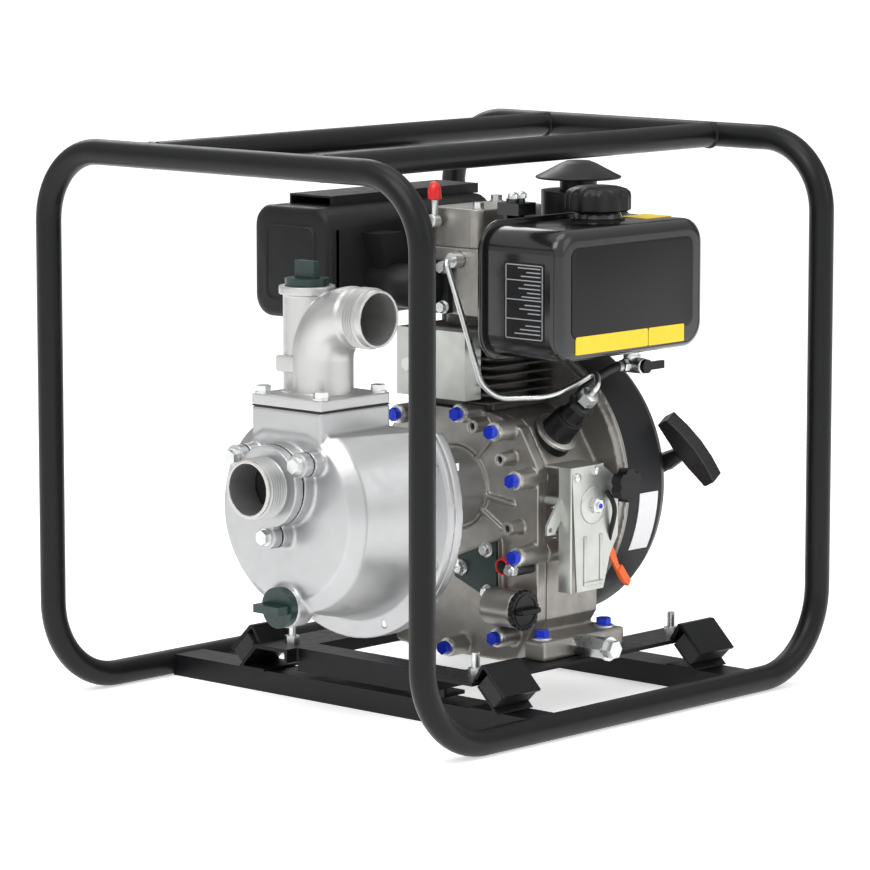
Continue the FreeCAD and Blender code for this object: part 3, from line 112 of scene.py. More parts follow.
def make_studio():
    world = bpy.data.worlds.new("studio")
    world.use_nodes = True
    nodes, links = world.node_tree.nodes, world.node_tree.links
    nodes["Background"].inputs["Color"].default_value = (1, 1, 1, 1)
    way = nodes.new("ShaderNodeTexCoord")
    facing = nodes.new("ShaderNodeVectorMath")
    facing.operation = "DOT_PRODUCT"
    facing.inputs[1].default_value = BRIGHT_SIDE
    glow = nodes.new("ShaderNodeMapRange")
    glow.inputs["From Min"].default_value = -0.5
    glow.inputs["From Max"].default_value = 0.7
    glow.inputs["To Min"].default_value = 0.28
    glow.inputs["To Max"].default_value = 0.95
    links.new(way.outputs["Generated"], facing.inputs[0])
    links.new(facing.outputs["Value"], glow.inputs["Value"])
    links.new(glow.outputs["Result"], nodes["Background"].inputs["Strength"])
    bpy.context.scene.world = world
    bpy.context.scene.view_settings.view_transform = "Standard"
    soft_light("key", -75, 48, 2.6, (1.6, 1.2), 24)
    soft_light("fill", 20, 25, 3.0, (1.4, 1.8), 8)
    soft_light("top", -30, 82, 2.2, (1.4, 1.4), 12)
    soft_light("rim", 150, 35, 3.0, (1.6, 1.0), 14)
    floor_mesh = bpy.data.meshes.new("floor")
    reach = 60
    floor_mesh.from_pydata([(-reach, -reach, 0), (reach, -reach, 0), (reach, reach, 0), (-reach, reach, 0)],
                           [], [(0, 1, 2, 3)])
    floor = link(bpy.data.objects.new("floor", floor_mesh))
    floor.data.materials.append(plain_floor())


# ---- Materials --------------------------------------------------------------------------------------
class Looks:
    """A material under construction: a Principled shader and nodes that feed it."""

    def __init__(self, name, colour, roughness, metallic=0.0, **sockets):
        self.material = bpy.data.materials.new(name)
        self.material.use_nodes = True
        self.tree = self.material.node_tree
        self.shader = self.tree.nodes["Principled BSDF"]
        self.colour = colour
        self.shader.inputs["Base Color"].default_value = (*colour, 1)
        self.shader.inputs["Roughness"].default_value = roughness
        self.shader.inputs["Metallic"].default_value = metallic
        for socket, value in sockets.items():
            self.shader.inputs[socket.replace("_", " ")].default_value = value
        self.roughness = roughness
        self.place = self.node("ShaderNodeTexCoord").outputs["Object"]

    def node(self, kind, **inputs):
        made = self.tree.nodes.new(kind)
        for name, value in inputs.items():
            made.inputs[name.replace("_", " ")].default_value = value
        return made

    def join(self, source, target):
        self.tree.links.new(source, target)

    def noise(self, scale, detail=3.0, stretch=None):
        """Noise with features about 1/scale metres apart."""
        made = self.node("ShaderNodeTexNoise", Scale=scale, Detail=detail)
        where = self.place
        if stretch:
            mapping = self.node("ShaderNodeMapping", Scale=stretch)
            self.join(where, mapping.inputs["Vector"])
            where = mapping.outputs["Vector"]
        self.join(where, made.inputs["Vector"])
        return made.outputs["Fac"]

    def range(self, source, low, high, start=0.3, end=0.7):
        made = self.node("ShaderNodeMapRange", From_Min=start, From_Max=end, To_Min=low, To_Max=high)
        self.join(source, made.inputs["Value"])
        return made.outputs["Result"]

    def mottle(self, scale, amount, detail=3.0, stretch=None):
        """Varies the colour by a share either way."""
        mix = self.node("ShaderNodeMix")
        mix.data_type = "RGBA"
        dark = tuple(c * (1 - amount) for c in self.colour)
        light = tuple(min(c * (1 + amount), 1) for c in self.colour)
        mix.inputs["A"].default_value = (*dark, 1)
        mix.inputs["B"].default_value = (*light, 1)
        self.join(self.range(self.noise(scale, detail, stretch), 0, 1), mix.inputs["Factor"])
        self.join(mix.outputs["Result"], self.shader.inputs["Base Color"])
        return self

    def uneven(self, scale, amount, detail=3.0, stretch=None):
        """Varies the roughness by an amount either way."""
        spread = self.range(self.noise(scale, detail, stretch), self.roughness - amount,
                            self.roughness + amount)
        self.join(spread, self.shader.inputs["Roughness"])
        return self

    def grain(self, scale, depth, detail=2.0, stretch=None):
        """Fine relief, `depth` metres deep."""
        bump = self.node("ShaderNodeBump", Distance=depth, Strength=1.0)
        self.join(self.noise(scale, detail, stretch), bump.inputs["Height"])
        self.join(bump.outputs["Normal"], self.shader.inputs["Normal"])
        return self


def plain_floor():
    return Looks("floor", (0.86, 0.86, 0.86), 0.7, Emission_Color=(1, 1, 1, 1), Emission_Strength=0.50)\
        .mottle(3, 0.01).material


def make_materials():
    looks = dict(
        frame_black=Looks("powder_black", (0.0065, 0.0068, 0.0075), 0.33, Specular_IOR_Level=0.22)
        .uneven(60, 0.05).grain(900, 0.000015),
        bracket_black=Looks("bracket_black", (0.0065, 0.0068, 0.0075), 0.4, Specular_IOR_Level=0.22)
        .uneven(80, 0.06).grain(700, 0.000015),
        rubber=Looks("rubber", (0.012, 0.012, 0.0125), 0.7).mottle(150, 0.15).grain(600, 0.00002),
        pump_aluminium=Looks("pump_aluminium", (0.48, 0.483, 0.488), 0.36, 0.85)
        .mottle(30, 0.03).uneven(90, 0.05).grain(1500, 0.0000175),
        elbow_aluminium=Looks("elbow_aluminium", (0.54, 0.54, 0.535), 0.38, 0.8)
        .mottle(40, 0.025).uneven(120, 0.04).grain(1800, 0.000015),
        engine_casting=Looks("engine_casting", (0.36, 0.345, 0.32), 0.38, 0.8)
        .mottle(55, 0.10).uneven(140, 0.06).grain(1300, 0.00002),
        dark_casting=Looks("dark_casting", (0.10, 0.097, 0.092), 0.5, 0.5)
        .mottle(60, 0.15).uneven(100, 0.08).grain(1100, 0.000025),
        machined=Looks("machined", (0.55, 0.54, 0.52), 0.3, 0.9).uneven(300, 0.06).grain(2400, 0.000005),
        plug_green=Looks("plug_green", (0.008, 0.030, 0.026), 0.32).mottle(90, 0.2).grain(900, 0.00001),
        cast_iron=Looks("cast_iron", (0.11, 0.11, 0.11), 0.55, 0.6).mottle(80, 0.15).grain(900, 0.000025),
        zinc=Looks("zinc", (0.70, 0.72, 0.71), 0.3, 1.0).mottle(250, 0.03).uneven(200, 0.04)
        .grain(1500, 0.000001),
        pressed_zinc=Looks("pressed_zinc", (0.56, 0.58, 0.545), 0.34, 0.8)
        .mottle(45, 0.07).uneven(80, 0.06).grain(900, 0.00001),
        bolt_blue=Looks("bolt_blue", (0.006, 0.035, 0.62), 0.3, 0.35).mottle(500, 0.35)
        .grain(1200, 0.000015),
        steel=Looks("steel", (0.52, 0.52, 0.50), 0.24, 1.0).uneven(250, 0.06).grain(1200, 0.0000075),
        dark_steel=Looks("dark_steel", (0.05, 0.05, 0.052), 0.34, 0.7).mottle(120, 0.2).uneven(160, 0.08),
        black_plastic=Looks("black_plastic", (0.006, 0.006, 0.0065), 0.36, Specular_IOR_Level=0.3)
        .uneven(120, 0.05).grain(1400, 0.0000125),
        grip_black=Looks("grip_black", (0.009, 0.009, 0.0095), 0.3).uneven(90, 0.04).grain(1200, 0.00001),
        red_plastic=Looks("red_plastic", (0.62, 0.015, 0.012), 0.25).mottle(120, 0.08)
        .grain(900, 0.0000075),
        orange_plastic=Looks("orange_plastic", (0.86, 0.13, 0.012), 0.35).mottle(60, 0.06)
        .grain(900, 0.0000075),
        muffler_black=Looks("muffler_black", (0.010, 0.0102, 0.011), 0.42, Specular_IOR_Level=0.22)
        .mottle(50, 0.12).uneven(90, 0.07).grain(1000, 0.000015),
        fan_grey=Looks("fan_grey", (0.016, 0.0165, 0.018), 0.42, Specular_IOR_Level=0.22)
        .uneven(60, 0.06).grain(1000, 0.0000125),
        tank_black=Looks("tank_black", (0.004, 0.004, 0.0043), 0.2, Coat_Weight=0.35, Coat_Roughness=0.08)
        .uneven(25, 0.03).grain(120, 0.00001),
        panel_grey=Looks("panel_grey", (0.006, 0.006, 0.0065), 0.3, Specular_IOR_Level=0.3)
        .mottle(200, 0.05).grain(2500, 0.0000075),
        label_yellow=Looks("label_yellow", (0.86, 0.60, 0.02), 0.35).mottle(120, 0.03)
        .grain(1500, 0.0000025),
        label_white=Looks("label_white", (0.80, 0.80, 0.82), 0.4).mottle(120, 0.02).grain(1500, 0.0000025),
        label_ink=Looks("label_ink", (0.30, 0.31, 0.33), 0.4).mottle(160, 0.05),
        rope=Looks("rope", (0.62, 0.62, 0.60), 0.8).mottle(900, 0.25).grain(1500, 0.000075),
        hose=Looks("hose", (0.015, 0.015, 0.015), 0.5).mottle(200, 0.2).grain(700, 0.000015),
        # painted shade: a matte dark colour laid over the starter cover's vent openings to stand for their
        # shadowed insides
        vent_shade_paint=Looks("vent_shade_paint", (0.02, 0.02, 0.021), 0.8).mottle(90, 0.2),
    )
    return {name: made.material for name, made in looks.items()}


LOOK = make_materials()
make_camera()
make_studio()


# ---- Shapes -----------------------------------------------------------------------------------------
WAYS = {"X": X, "-X": -X, "Y": Y, "-Y": -Y, "Z": Z, "-Z": -Z}


def heading_of(way):
    return WAYS[way] if isinstance(way, str) else Vector(way).normalized()


class Shape:
    """Closed surfaces gathered in millimetres and made into one piece at the end."""

    def __init__(self):
        self.mesh = bmesh.new()

    def surface(self, rings, loop=False):
        """Quads between rings of points; a one-point ring is a tip.  Open ends are capped."""
        made = [[self.mesh.verts.new(p) for p in ring] for ring in rings]
        pairs = list(zip(made, made[1:])) + ([(made[-1], made[0])] if loop else [])
        for one, two in pairs:
            count = max(len(one), len(two))
            for n in range(count):
                corners = [one[n % len(one)], one[(n + 1) % len(one)], two[(n + 1) % len(two)],
                           two[n % len(two)]]
                face = list(dict.fromkeys(corners))
                if len(face) > 2:
                    self.mesh.faces.new(face)
        if not loop:
            for ring, flip in ((made[0], True), (made[-1], False)):
                if len(ring) > 2:
                    self.mesh.faces.new(ring[::-1] if flip else ring)
        return self

    def lathe(self, way, at, profile, steps=48, loop=False):
        """Turns (distance, radius) pairs about the line through `at`."""
        axis = heading_of(way)
        side = axis.orthogonal().normalized()
        other = axis.cross(side)
        rings = []
        for distance, radius in profile:
            centre = Vector(at) + axis * distance
            if radius < 1e-6:
                rings.append([centre])
            else:
                rings.append([centre + (side * math.cos(a) + other * math.sin(a)) * radius
                              for a in np.linspace(0, 2 * math.pi, steps, endpoint=False)])
        return self.surface(rings, loop=loop)

    def rod(self, way, at, length, dia, steps=40):
        return self.lathe(way, at, [(0, dia / 2), (length, dia / 2)], steps)

    def ring(self, way, at, length, outer, inner, steps=48):
        """A tube."""
        return self.lathe(way, at, [(0, outer / 2), (length, outer / 2), (length, inner / 2),
                                    (0, inner / 2)],
                          steps, loop=True)

    def box(self, low, high):
        (x1, y1, z1), (x2, y2, z2) = low, high
        ring = [(x1, y1), (x2, y1), (x2, y2), (x1, y2)]
        return self.surface([[(x, y, z) for x, y in ring] for z in (z1, z2)])

    def prism(self, plane, outline, start, end):
        """An outline in the YZ, XZ or XY plane, given thickness along the third axis."""
        lift = dict(YZ=lambda u, v, w: (w, u, v), XZ=lambda u, v, w: (u, w, v), XY=lambda u, v,
                    w: (u, v, w))
        return self.surface([[lift[plane](u, v, w) for u, v in outline] for w in (start, end)])

    def hexagon(self, way, at, flats, height, crown=0.8):
        """A bolt head: six sides, chamfered corners at the top."""
        axis = heading_of(way)
        side = axis.orthogonal().normalized()
        other = axis.cross(side)
        reach = flats / math.sqrt(3)
        rings = []
        for distance, scale in ((0, 1), (height - crown, 1), (height, 0.87)):
            centre = Vector(at) + axis * distance
            rings.append([centre + (side * math.cos(a) + other * math.sin(a)) * reach * scale
                          for a in np.radians(range(0, 360, 60))])
        return self.surface(rings)

    def sweep(self, points, dia, steps=20, order=3):
        """A round tube along a smooth line through control points."""
        return self.surface(tube_rings(smooth_line(points, order), dia / 2, steps))

    def cad(self, *names):
        """Copies of CAD nodes' own surfaces."""
        for name in names:
            source = NODES[name].data.copy()
            source.transform(Matrix.Scale(1 / MM, 4))
            self.mesh.from_mesh(source)
            bpy.data.meshes.remove(source)
        bmesh.ops.remove_doubles(self.mesh, verts=self.mesh.verts, dist=0.002)
        return self

    def moved(self, test, change):
        for vert in self.mesh.verts:
            if test(vert.co):
                vert.co = change(vert.co)
        return self

    def object(self, name):
        bmesh.ops.recalc_face_normals(self.mesh, faces=self.mesh.faces)
        data = bpy.data.meshes.new(name)
        self.mesh.to_mesh(data)
        self.mesh.free()
        data.transform(Matrix.Scale(MM, 4))
        return link(bpy.data.objects.new(name, data))


def smooth_line(points, order=3, per_point=8):
    """Points along a NURBS through the ends of `points`, as a curve object samples it."""
    data = bpy.data.curves.new("line", "CURVE")
    data.dimensions = "3D"
    spline = data.splines.new("NURBS")
    spline.points.add(len(points) - 1)
    for knot, point in zip(spline.points, points):
        knot.co = (*point, 1)
    spline.order_u = min(order, len(points))
    spline.use_endpoint_u = True
    spline.resolution_u = per_point
    curve = bpy.data.objects.new("line", data)
    mesh = bpy.data.meshes.new_from_object(curve)
    line = [vert.co.copy() for vert in mesh.vertices]
    bpy.data.meshes.remove(mesh)
    bpy.data.objects.remove(curve)
    bpy.data.curves.remove(data)
    return line


def tube_rings(line, radius, steps):
    """Rings of points square to a line, without twist."""
    rings = []
    side = None
    for n, point in enumerate(line):
        ahead = (line[min(n + 1, len(line) - 1)] - line[max(n - 1, 0)]).normalized()
        side = ahead.orthogonal() if side is None else side - ahead * side.dot(ahead)
        side.normalize()
        other = ahead.cross(side)
        rings.append([point + (side * math.cos(a) + other * math.sin(a)) * radius
                      for a in np.linspace(0, 2 * math.pi, steps, endpoint=False)])
    return rings


def apply_modifiers(obj):
    graph = bpy.context.evaluated_depsgraph_get()
    graph.update()
    finished = bpy.data.meshes.new_from_object(obj.evaluated_get(graph))
    old = obj.data
    obj.modifiers.clear()
    obj.data = finished
    bpy.data.meshes.remove(old)
    return obj


def finish_piece(obj, look, body, slot, replaces=(), sharp=40):
    """Gives a finished mesh its shading, material and body, and hides the CAD nodes that it stands for;
    `slot` is not used.
    """
    for face in obj.data.polygons:
        face.use_smooth = True
    obj.data.set_sharp_from_angle(angle=math.radians(sharp))
    obj.data.materials.clear()
    obj.data.materials.append(LOOK[look])
    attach(obj, body)
    if replaces:
        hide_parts(*replaces)
    return obj


def piece(name, shape, look, body, slot, replaces=(), bevel=0.0, segments=3, sharp=40, limit=30):
    """A shape as one piece, its edges rounded by `bevel` millimetres."""
    obj = shape.object(name)
    if bevel:
        edges = obj.modifiers.new("edges", "BEVEL")
        edges.width = bevel * MM
        edges.segments = segments
        edges.limit_method = "ANGLE"
        edges.angle_limit = math.radians(limit)
        edges.harden_normals = False
        apply_modifiers(obj)
    return finish_piece(obj, look, body, slot, replaces, sharp)


def cast(name, shape, look, body, slot, replaces=(), voxel=1.5, rounds=4, thin=0.5):
    """Closed surfaces grown together into one casting with rounded edges."""
    obj = shape.object(name)
    skin = obj.modifiers.new("skin", "REMESH")
    skin.mode = "VOXEL"
    skin.voxel_size = voxel * MM
    soften = obj.modifiers.new("soften", "SMOOTH")
    soften.iterations = rounds
    soften.factor = 0.5
    if thin < 1:
        reduce = obj.modifiers.new("reduce", "DECIMATE")
        reduce.ratio = thin
    apply_modifiers(obj)
    return finish_piece(obj, look, body, slot, replaces, sharp=60)


def rounded_outline(low, high, radius, steps=6):
    """A rectangle with round corners, as (u, v) points."""
    (u1, v1), (u2, v2) = low, high
    corners = ((u2 - radius, v2 - radius, 0), (u1 + radius, v2 - radius, 90),
               (u1 + radius, v1 + radius, 180),
               (u2 - radius, v1 + radius, 270))
    return [(u + radius * math.cos(math.radians(start + turn)),
             v + radius * math.sin(math.radians(start + turn)))
            for u, v, start in corners for turn in np.linspace(0, 90, steps)]


def thread_profile(start, end, crest, root, pitch):
    """(distance, radius) pairs of a threaded stretch."""
    turns = int((end - start) / pitch)
    profile = []
    for n in range(turns):
        s = start + n * pitch
        profile += [(s, root), (s + 0.38 * pitch, crest), (s + 0.55 * pitch, crest),
                    (s + 0.92 * pitch, root)]
    return profile


LOOK_OF_SLOT = dict(
    frame_black="frame_black", rubber="rubber", pump_aluminium="pump_aluminium",
    elbow_aluminium="elbow_aluminium", plug_green="plug_green", cast_iron="cast_iron", seal_steel="steel",
    engine_casting="engine_casting", engine_bolts="bolt_blue", zinc="zinc", black_plastic="black_plastic",
    steel="steel", piston_aluminium="machined", cylinder_iron="cast_iron", red_plastic="red_plastic",
    muffler_black="muffler_black", fan_grey="fan_grey", rope="rope", tank_black="tank_black",
    pump_steel="dark_steel", orange_plastic="orange_plastic")
LOOK_OF_NODE = dict(regulator_panel="pressed_zinc", cylinder_shroud="pressed_zinc",
                    stop_lever="pressed_zinc",
                    access_plate="plug_green", fuel_cock_lever="black_plastic", decompression_lever="zinc",
                    recoil_handle="grip_black", fuel_hose="hose")
for node_name, node_object in NODES.items():
    look = LOOK_OF_NODE.get(node_name, LOOK_OF_SLOT[SLOT_OF[node_name]])
    node_object.data.materials.clear()
    node_object.data.materials.append(LOOK[look])


def scalloped(radius, depth, lobes, steps):
    """A round outline with shallow lobes, as (u, v) points."""
    turns = np.linspace(0, 2 * math.pi, steps, endpoint=False)
    reach = [radius - depth * (0.5 + 0.5 * math.cos(lobes * a)) for a in turns]
    return [(out * math.cos(a), out * math.sin(a)) for out, a in zip(reach, turns)]


def extra(name, shape, look, near, bevel=0.0, **options):
    """A detail with no CAD node of its own, carried by the body of the node it sits on."""
    return piece(name, shape, look, BODY_OF[near], SLOT_OF[near], bevel=bevel, **options)


# ---- Pump -------------------------------------------------------------------------------------------
PORT_Y, PORT_Z, CRANK_Z = -31, 241, 211


def recast(node, look, voxel=1.5, rounds=4, thin=0.4, shape=None):
    """The node's own body with its edges rounded as a casting's are."""
    made = shape or Shape().cad(node)
    cast(node + "_cast", made, look, BODY_OF[node], SLOT_OF[node], (node,), voxel, rounds, thin)


def narrowed(shape, near, radial, reach):
    """Draws the outside of a port in to its thread's root."""
    def change(place):
        offset = radial(place)
        return place - offset * (1 - reach / offset.length)
    return shape.moved(lambda place: near(place) and 29.3 < radial(place).length < 30.2, change)


def thread(at, way, start, end):
    profile = [(start, 27.0)] + thread_profile(start, end, 29.7, 27.6, 3.1) + [(end, 27.6), (end, 27.0)]
    return Shape().lathe(way, at, profile, 72, loop=True)


recast("pump_casing", "pump_aluminium", 1.6, 3)
flange = narrowed(Shape().cad("suction_flange"), lambda p: p.x < -278,
                  lambda p: Vector((0, p.y - PORT_Y, p.z - PORT_Z)), 27.6)
recast("suction_flange", "pump_aluminium", 1.0, 2, shape=flange)
elbow = narrowed(Shape().cad("discharge_elbow"), lambda p: p.y < -78,
                 lambda p: Vector((p.x + 203, 0, p.z - 402)), 27.8)
recast("discharge_elbow", "elbow_aluminium", 1.1, 3, shape=elbow)
extra("suction_thread", thread((-280, PORT_Y, PORT_Z), "-X", 2, 23.5), "pump_aluminium", "suction_flange")
extra("outlet_thread", thread((-203, -84, 402), "-Y", 2, 20), "elbow_aluminium", "discharge_elbow")
extra("plate_on_tube", Shape().prism("YZ", rounded_outline((-31, 345), (5, 361), 3), -228.6, -224),
      "elbow_aluminium", "discharge_elbow", bevel=0.8)
extra("suction_lip", Shape().ring("-X", (-301, PORT_Y, PORT_Z), 3, 57, 50.2), "machined",
      "suction_flange", 0.4)

# ---- Engine castings --------------------------------------------------------------------------------
COVER_BOLTS = [(-24, 78), (-70, 64), (-98, 18), (-101, -58), (-75, -142), (-8, -160), (62, -142), (96, -58),
               (96, 18), (60, 70)]
EMPTY_BOSSES = [(-37, 66), (-74, 36), (-84, -32)]
cover = Shape().cad("crankcase_cover")
cover.ring("-X", (-5, PORT_Y, CRANK_Z), 5, 84, 70)
for y, z in ((-45, 50), (-62, -8), (-50, -30)):
    way = Vector((0, y, z)).normalized()
    side = Vector((0, -way.z, way.y)) * 2.2
    foot = Vector((0, PORT_Y, CRANK_Z)) + way * 38
    tip = Vector((0, PORT_Y + y * 1.25, CRANK_Z + z * 1.25))
    cover.prism("YZ", [(foot + side).yz, (tip + side).yz, (tip - side).yz, (foot - side).yz], -11, -5)
recast("crankcase_cover", "engine_casting", 1.4, 3, shape=cover)
recast("crankcase", "engine_casting", 2.0, 3)
recast("pump_bracket", "pump_aluminium", 1.8, 3)
recast("cylinder_head", "engine_casting", 1.2, 2)
recast("rocker_cover", "engine_casting", 1.2, 4)
recast("cylinder", "dark_casting", 1.3, 1)

machined = Shape()
for y, z in COVER_BOLTS:
    machined.rod("-X", (-29.2, PORT_Y + y, CRANK_Z + z), 0.9, 19.4)
for y, z in EMPTY_BOSSES:
    machined.ring("-X", (-25.4, PORT_Y + y, CRANK_Z + z), 0.9, 13.6, 8)
extra("boss_faces", machined, "machined", "crankcase_cover", 0.2)
flanges = Shape()
for y, z in COVER_BOLTS:
    flanges.lathe("-X", (-30, PORT_Y + y, CRANK_Z + z),
                  [(0, 9.2), (1.6, 9.2), (2.6, 7.6), (2.6, 6.2), (0, 6.2)],
                  40, loop=True)
extra("bolt_flanges", flanges, "zinc", "zinc_fasteners")
plate_bolts = Shape()
for y, z in ((-48, -58), (-14, -80), (-50, -101)):
    at = (-15, PORT_Y + y, CRANK_Z + z)
    plate_bolts.lathe("-X", at, [(0, 8), (1.8, 8), (2.4, 7), (2.4, 0)], 40)
    plate_bolts.hexagon("-X", (-17, at[1], at[2]), 10, 6)
extra("plate_bolts", plate_bolts, "zinc", "zinc_fasteners")
red_plug = Shape().ring("-X", (-5, PORT_Y - 72, CRANK_Z - 72), 16, 17, 12)
extra("red_plug", red_plug, "red_plastic", "crankcase_cover", 0.8)
extra("plug_core", Shape().rod("-X", (-5, PORT_Y - 72, CRANK_Z - 72), 17, 11), "black_plastic",
      "crankcase_cover", 0.8)
sleeve = Shape().rod("-X", (-5, -128, 140), 26, 13)
extra("sleeve_bolt", sleeve, "dark_steel", "crankcase_cover", 1)
extra("sleeve_nut", Shape().hexagon("-X", (-31, -128, 140), 12, 7).rod("-X", (-38, -128, 140), 4, 6.5),
      "zinc",
      "zinc_fasteners")

FILLER_X, FILLER_Z, FILLER_FACE = -27, 100, -134.3
filler_cap = Shape().surface([
    [(FILLER_X + u, FILLER_FACE - depth, FILLER_Z + v) for u, v in scalloped(20.5 - inset, 1.2, 20, 160)]
    for depth, inset in ((0, 0.8), (1, 0), (6, 0), (7, 0.8))])
filler_cap.rod("Y", (FILLER_X, -136, FILLER_Z), 14, 29)
filler_cap.surface([
    [(FILLER_X + x, y, FILLER_Z + z) for x, z in rounded_outline((-15 + g, -3 + g), (15 - g, 3 - g), 2, 4)]
    for y, g in ((-140, 0), (-148, 0.2), (-149.2, 1.2))])
filler_cap.ring("-Y", (FILLER_X, -141, FILLER_Z), 1.2, 33, 29)
piece("filler_cap", filler_cap, "black_plastic", BODY_OF["oil_filler_cap"], SLOT_OF["oil_filler_cap"],
      ("oil_filler_cap",))
foot_flanges = Shape()
for x in (-13, 81):
    for y in (-150, 88):
        foot_flanges.lathe("Z", (x, y, 71), [(0, 10.5), (1.6, 10.5), (2.6, 8.6), (2.6, 7), (0, 7)], 40,
                           loop=True)
extra("foot_flanges", foot_flanges, "zinc", "zinc_fasteners")

# ---- Tank -------------------------------------------------------------------------------------------
TANK_LOW, TANK_HIGH = (-54, 352), (170, 481)


def pillow(outline_low, outline_high, corner, near, far, round_near, round_far, steps=7):
    """A rounded can along Y: its outline shrinks over the rounded ends."""
    rings = []
    for y_at, radius, way in ((near, round_near, 1), (far, round_far, -1)):
        turns = np.linspace(0, math.pi / 2, steps)
        stages = [(y_at + way * radius * (1 - math.cos(a)), radius * (1 - math.sin(a))) for a in turns]
        for y, inset in stages if way > 0 else stages[::-1]:
            low = (outline_low[0] + inset, outline_low[1] + inset)
            high = (outline_high[0] - inset, outline_high[1] - inset)
            rings.append([(x, y, z) for x,
                          z in rounded_outline(low, high, max(corner - inset * 0.6, 3), 9)])
    return rings


CAP_X, CAP_Y = 75, -145
tank = Shape().surface(pillow(TANK_LOW, TANK_HIGH, 24, -205, -96, 11, 9))
tank.surface(pillow((-59, 347), (175, 486), 29, -110.5, -106, 1.5, 1.5, 4))
tank.lathe("Z", (CAP_X, CAP_Y, 478), [(0, 26), (4, 26), (5, 24), (12, 22), (12, 19), (0, 19)], 64,
           loop=True)
piece("tank_shell", tank, "tank_black", BODY_OF["fuel_tank"], SLOT_OF["fuel_tank"], ("fuel_tank",),
      sharp=38)
NEAR = -205.9
extra("tank_panel", Shape().prism("XZ", rounded_outline((-34, 374), (150, 464), 10), NEAR, -204.6),
      "panel_grey", "fuel_tank", 0.4)
strip = Shape().prism("XZ", rounded_outline((-28, 359.5), (80, 377), 1.5), NEAR - 0.3, -204.6)
strip.prism("XZ", rounded_outline((81.5, 359.5), (136, 377), 1.5), NEAR - 0.3, -204.6)
extra("yellow_strip", strip, "label_yellow", "fuel_tank")
note = Shape()
lines = [(374, 375), (393, 394), (412, 413), (431, 432), (446, 447)]
for low, high in lines:
    note.box((-54.7, -186, low), (-53.6, -138, high))
for y in (-186, -139):
    note.box((-54.7, y, 374), (-53.6, y + 1, 447))
for n, z in enumerate(range(379, 444, 4)):
    if all(abs(z - low) > 2.4 for low, _ in lines):
        note.box((-54.7, -183, z), (-53.6, -150 - (n * 7) % 18, z + 1.1))
extra("note_label", note, "label_ink", "fuel_tank")
extra("note_ground", Shape().prism("YZ", rounded_outline((-188, 372), (-136, 449), 2), -54.4, -53.5),
      "panel_grey", "fuel_tank")
extra("top_label", Shape().box((112, -176, 480.6), (152, -142, 481.5)), "label_yellow", "fuel_tank")
neck = Shape().lathe("Z", (CAP_X, CAP_Y, 481), [(0, 27), (1.5, 27), (3, 20)] +
                     [(3 + n * 0.8, 21 if n % 2 else 22.5) for n in range(8)] + [(9.6, 18.5), (0, 18.5)],
                     64, loop=True)
extra("neck_thread", neck, "black_plastic", "fuel_tank")

CAP_LEVELS = [(0, 0.93), (1.5, 1.0), (15, 1.0), (19, 0.97), (22, 0.86), (24, 0.66), (25, 0.4)]
cap = Shape().surface([
    [(CAP_X + u * scale, CAP_Y + v * scale, 490 + height)
     for u, v in scalloped(33, 2.6 if height < 20 else 1.04, 12, 144)]
    for height, scale in CAP_LEVELS])
piece("tank_cap", cap, "black_plastic", BODY_OF["fuel_cap"], SLOT_OF["fuel_cap"], ("fuel_cap",), sharp=50)
rain = Shape().lathe("Z", (155, -50, 512),
                     [(0, 41), (0, 43.6), (2, 44), (8, 32), (15, 19), (17.8, 12), (18, 0)], 72)
piece("rain_hood", rain, "black_plastic", BODY_OF["rain_cap"], SLOT_OF["rain_cap"], ("rain_cap",), 0.8)

fittings = Shape().lathe("Z", (110, -161, 342),
                         [(0, 9), (2, 9), (2, 7.5), (8, 7.5), (8, 9), (10, 9), (10, 0)], 32)
fittings.hexagon("-X", (104, -158, 334), 12, 6).hexagon("-Y", (110, -173, 334), 15, 4)
extra("cock_nuts", fittings, "zinc", "fuel_cock")
clips = Shape()
for at, way in (((96, -157.6, 333.6), (-1, 0.06, -0.06)), ((49.5, -124.6, 284), (-0.5, 0.1, -0.86))):
    clips.ring(way, at, 5, 11, 8.6)
extra("hose_clips", clips, "steel", "zinc_fasteners")
INJECTION_AT = Vector((34, -118, 262))
INJECTION_WAY = Vector((0, -0.7317, 0.6816)).normalized()
top = INJECTION_AT + INJECTION_WAY * 58
extra("pump_nut", Shape().hexagon(INJECTION_WAY, top - INJECTION_WAY * 4, 24, 6), "dark_steel",
      "injection_pump")
extra("pipe_nut", Shape().hexagon(INJECTION_WAY, top + INJECTION_WAY * 5, 17, 12), "zinc", "injection_pipe")
extra("pump_base", Shape().lathe(INJECTION_WAY, INJECTION_AT + INJECTION_WAY * 11,
                                 [(0, 23), (3, 23), (3.6, 22), (3.6, 0)], 48), "machined", "injection_pump")

# ---- Muffler ----------------------------------------------------------------------------------------
can = []
for x, inset in ((-118, 7), (-117, 3.5), (-115, 1.2), (-112, 0), (122, 0), (125, 1.2), (127, 3.5),
                 (128, 7)):
    can.append([(x, y, z) for y, z in rounded_outline((41 + inset, 380 + inset),
                                                      (145 - inset, 492 - inset), 20, 9)])
muffler = Shape().surface(can)
for x in (-104, 112):
    ring = [[(x + dx, y, z) for y, z in rounded_outline((41 - d, 380 - d), (145 + d, 492 + d), 21, 9)]
            for dx, d in ((-3, -1.5), (-2, 0), (2, 0), (3, -1.5))]
    muffler.surface(ring)
muffler.surface([[(x, y, z) for y, z in rounded_outline((59 + g, 398 + g), (127 - g, 474 - g), 9, 7)]
                 for x, g in ((-116, -1.5), (-118.8, 0), (-118.8, 1.5), (-117.2, 3))])
piece("muffler_can", muffler, "muffler_black", BODY_OF["muffler"], SLOT_OF["muffler"], ("muffler",), 0)

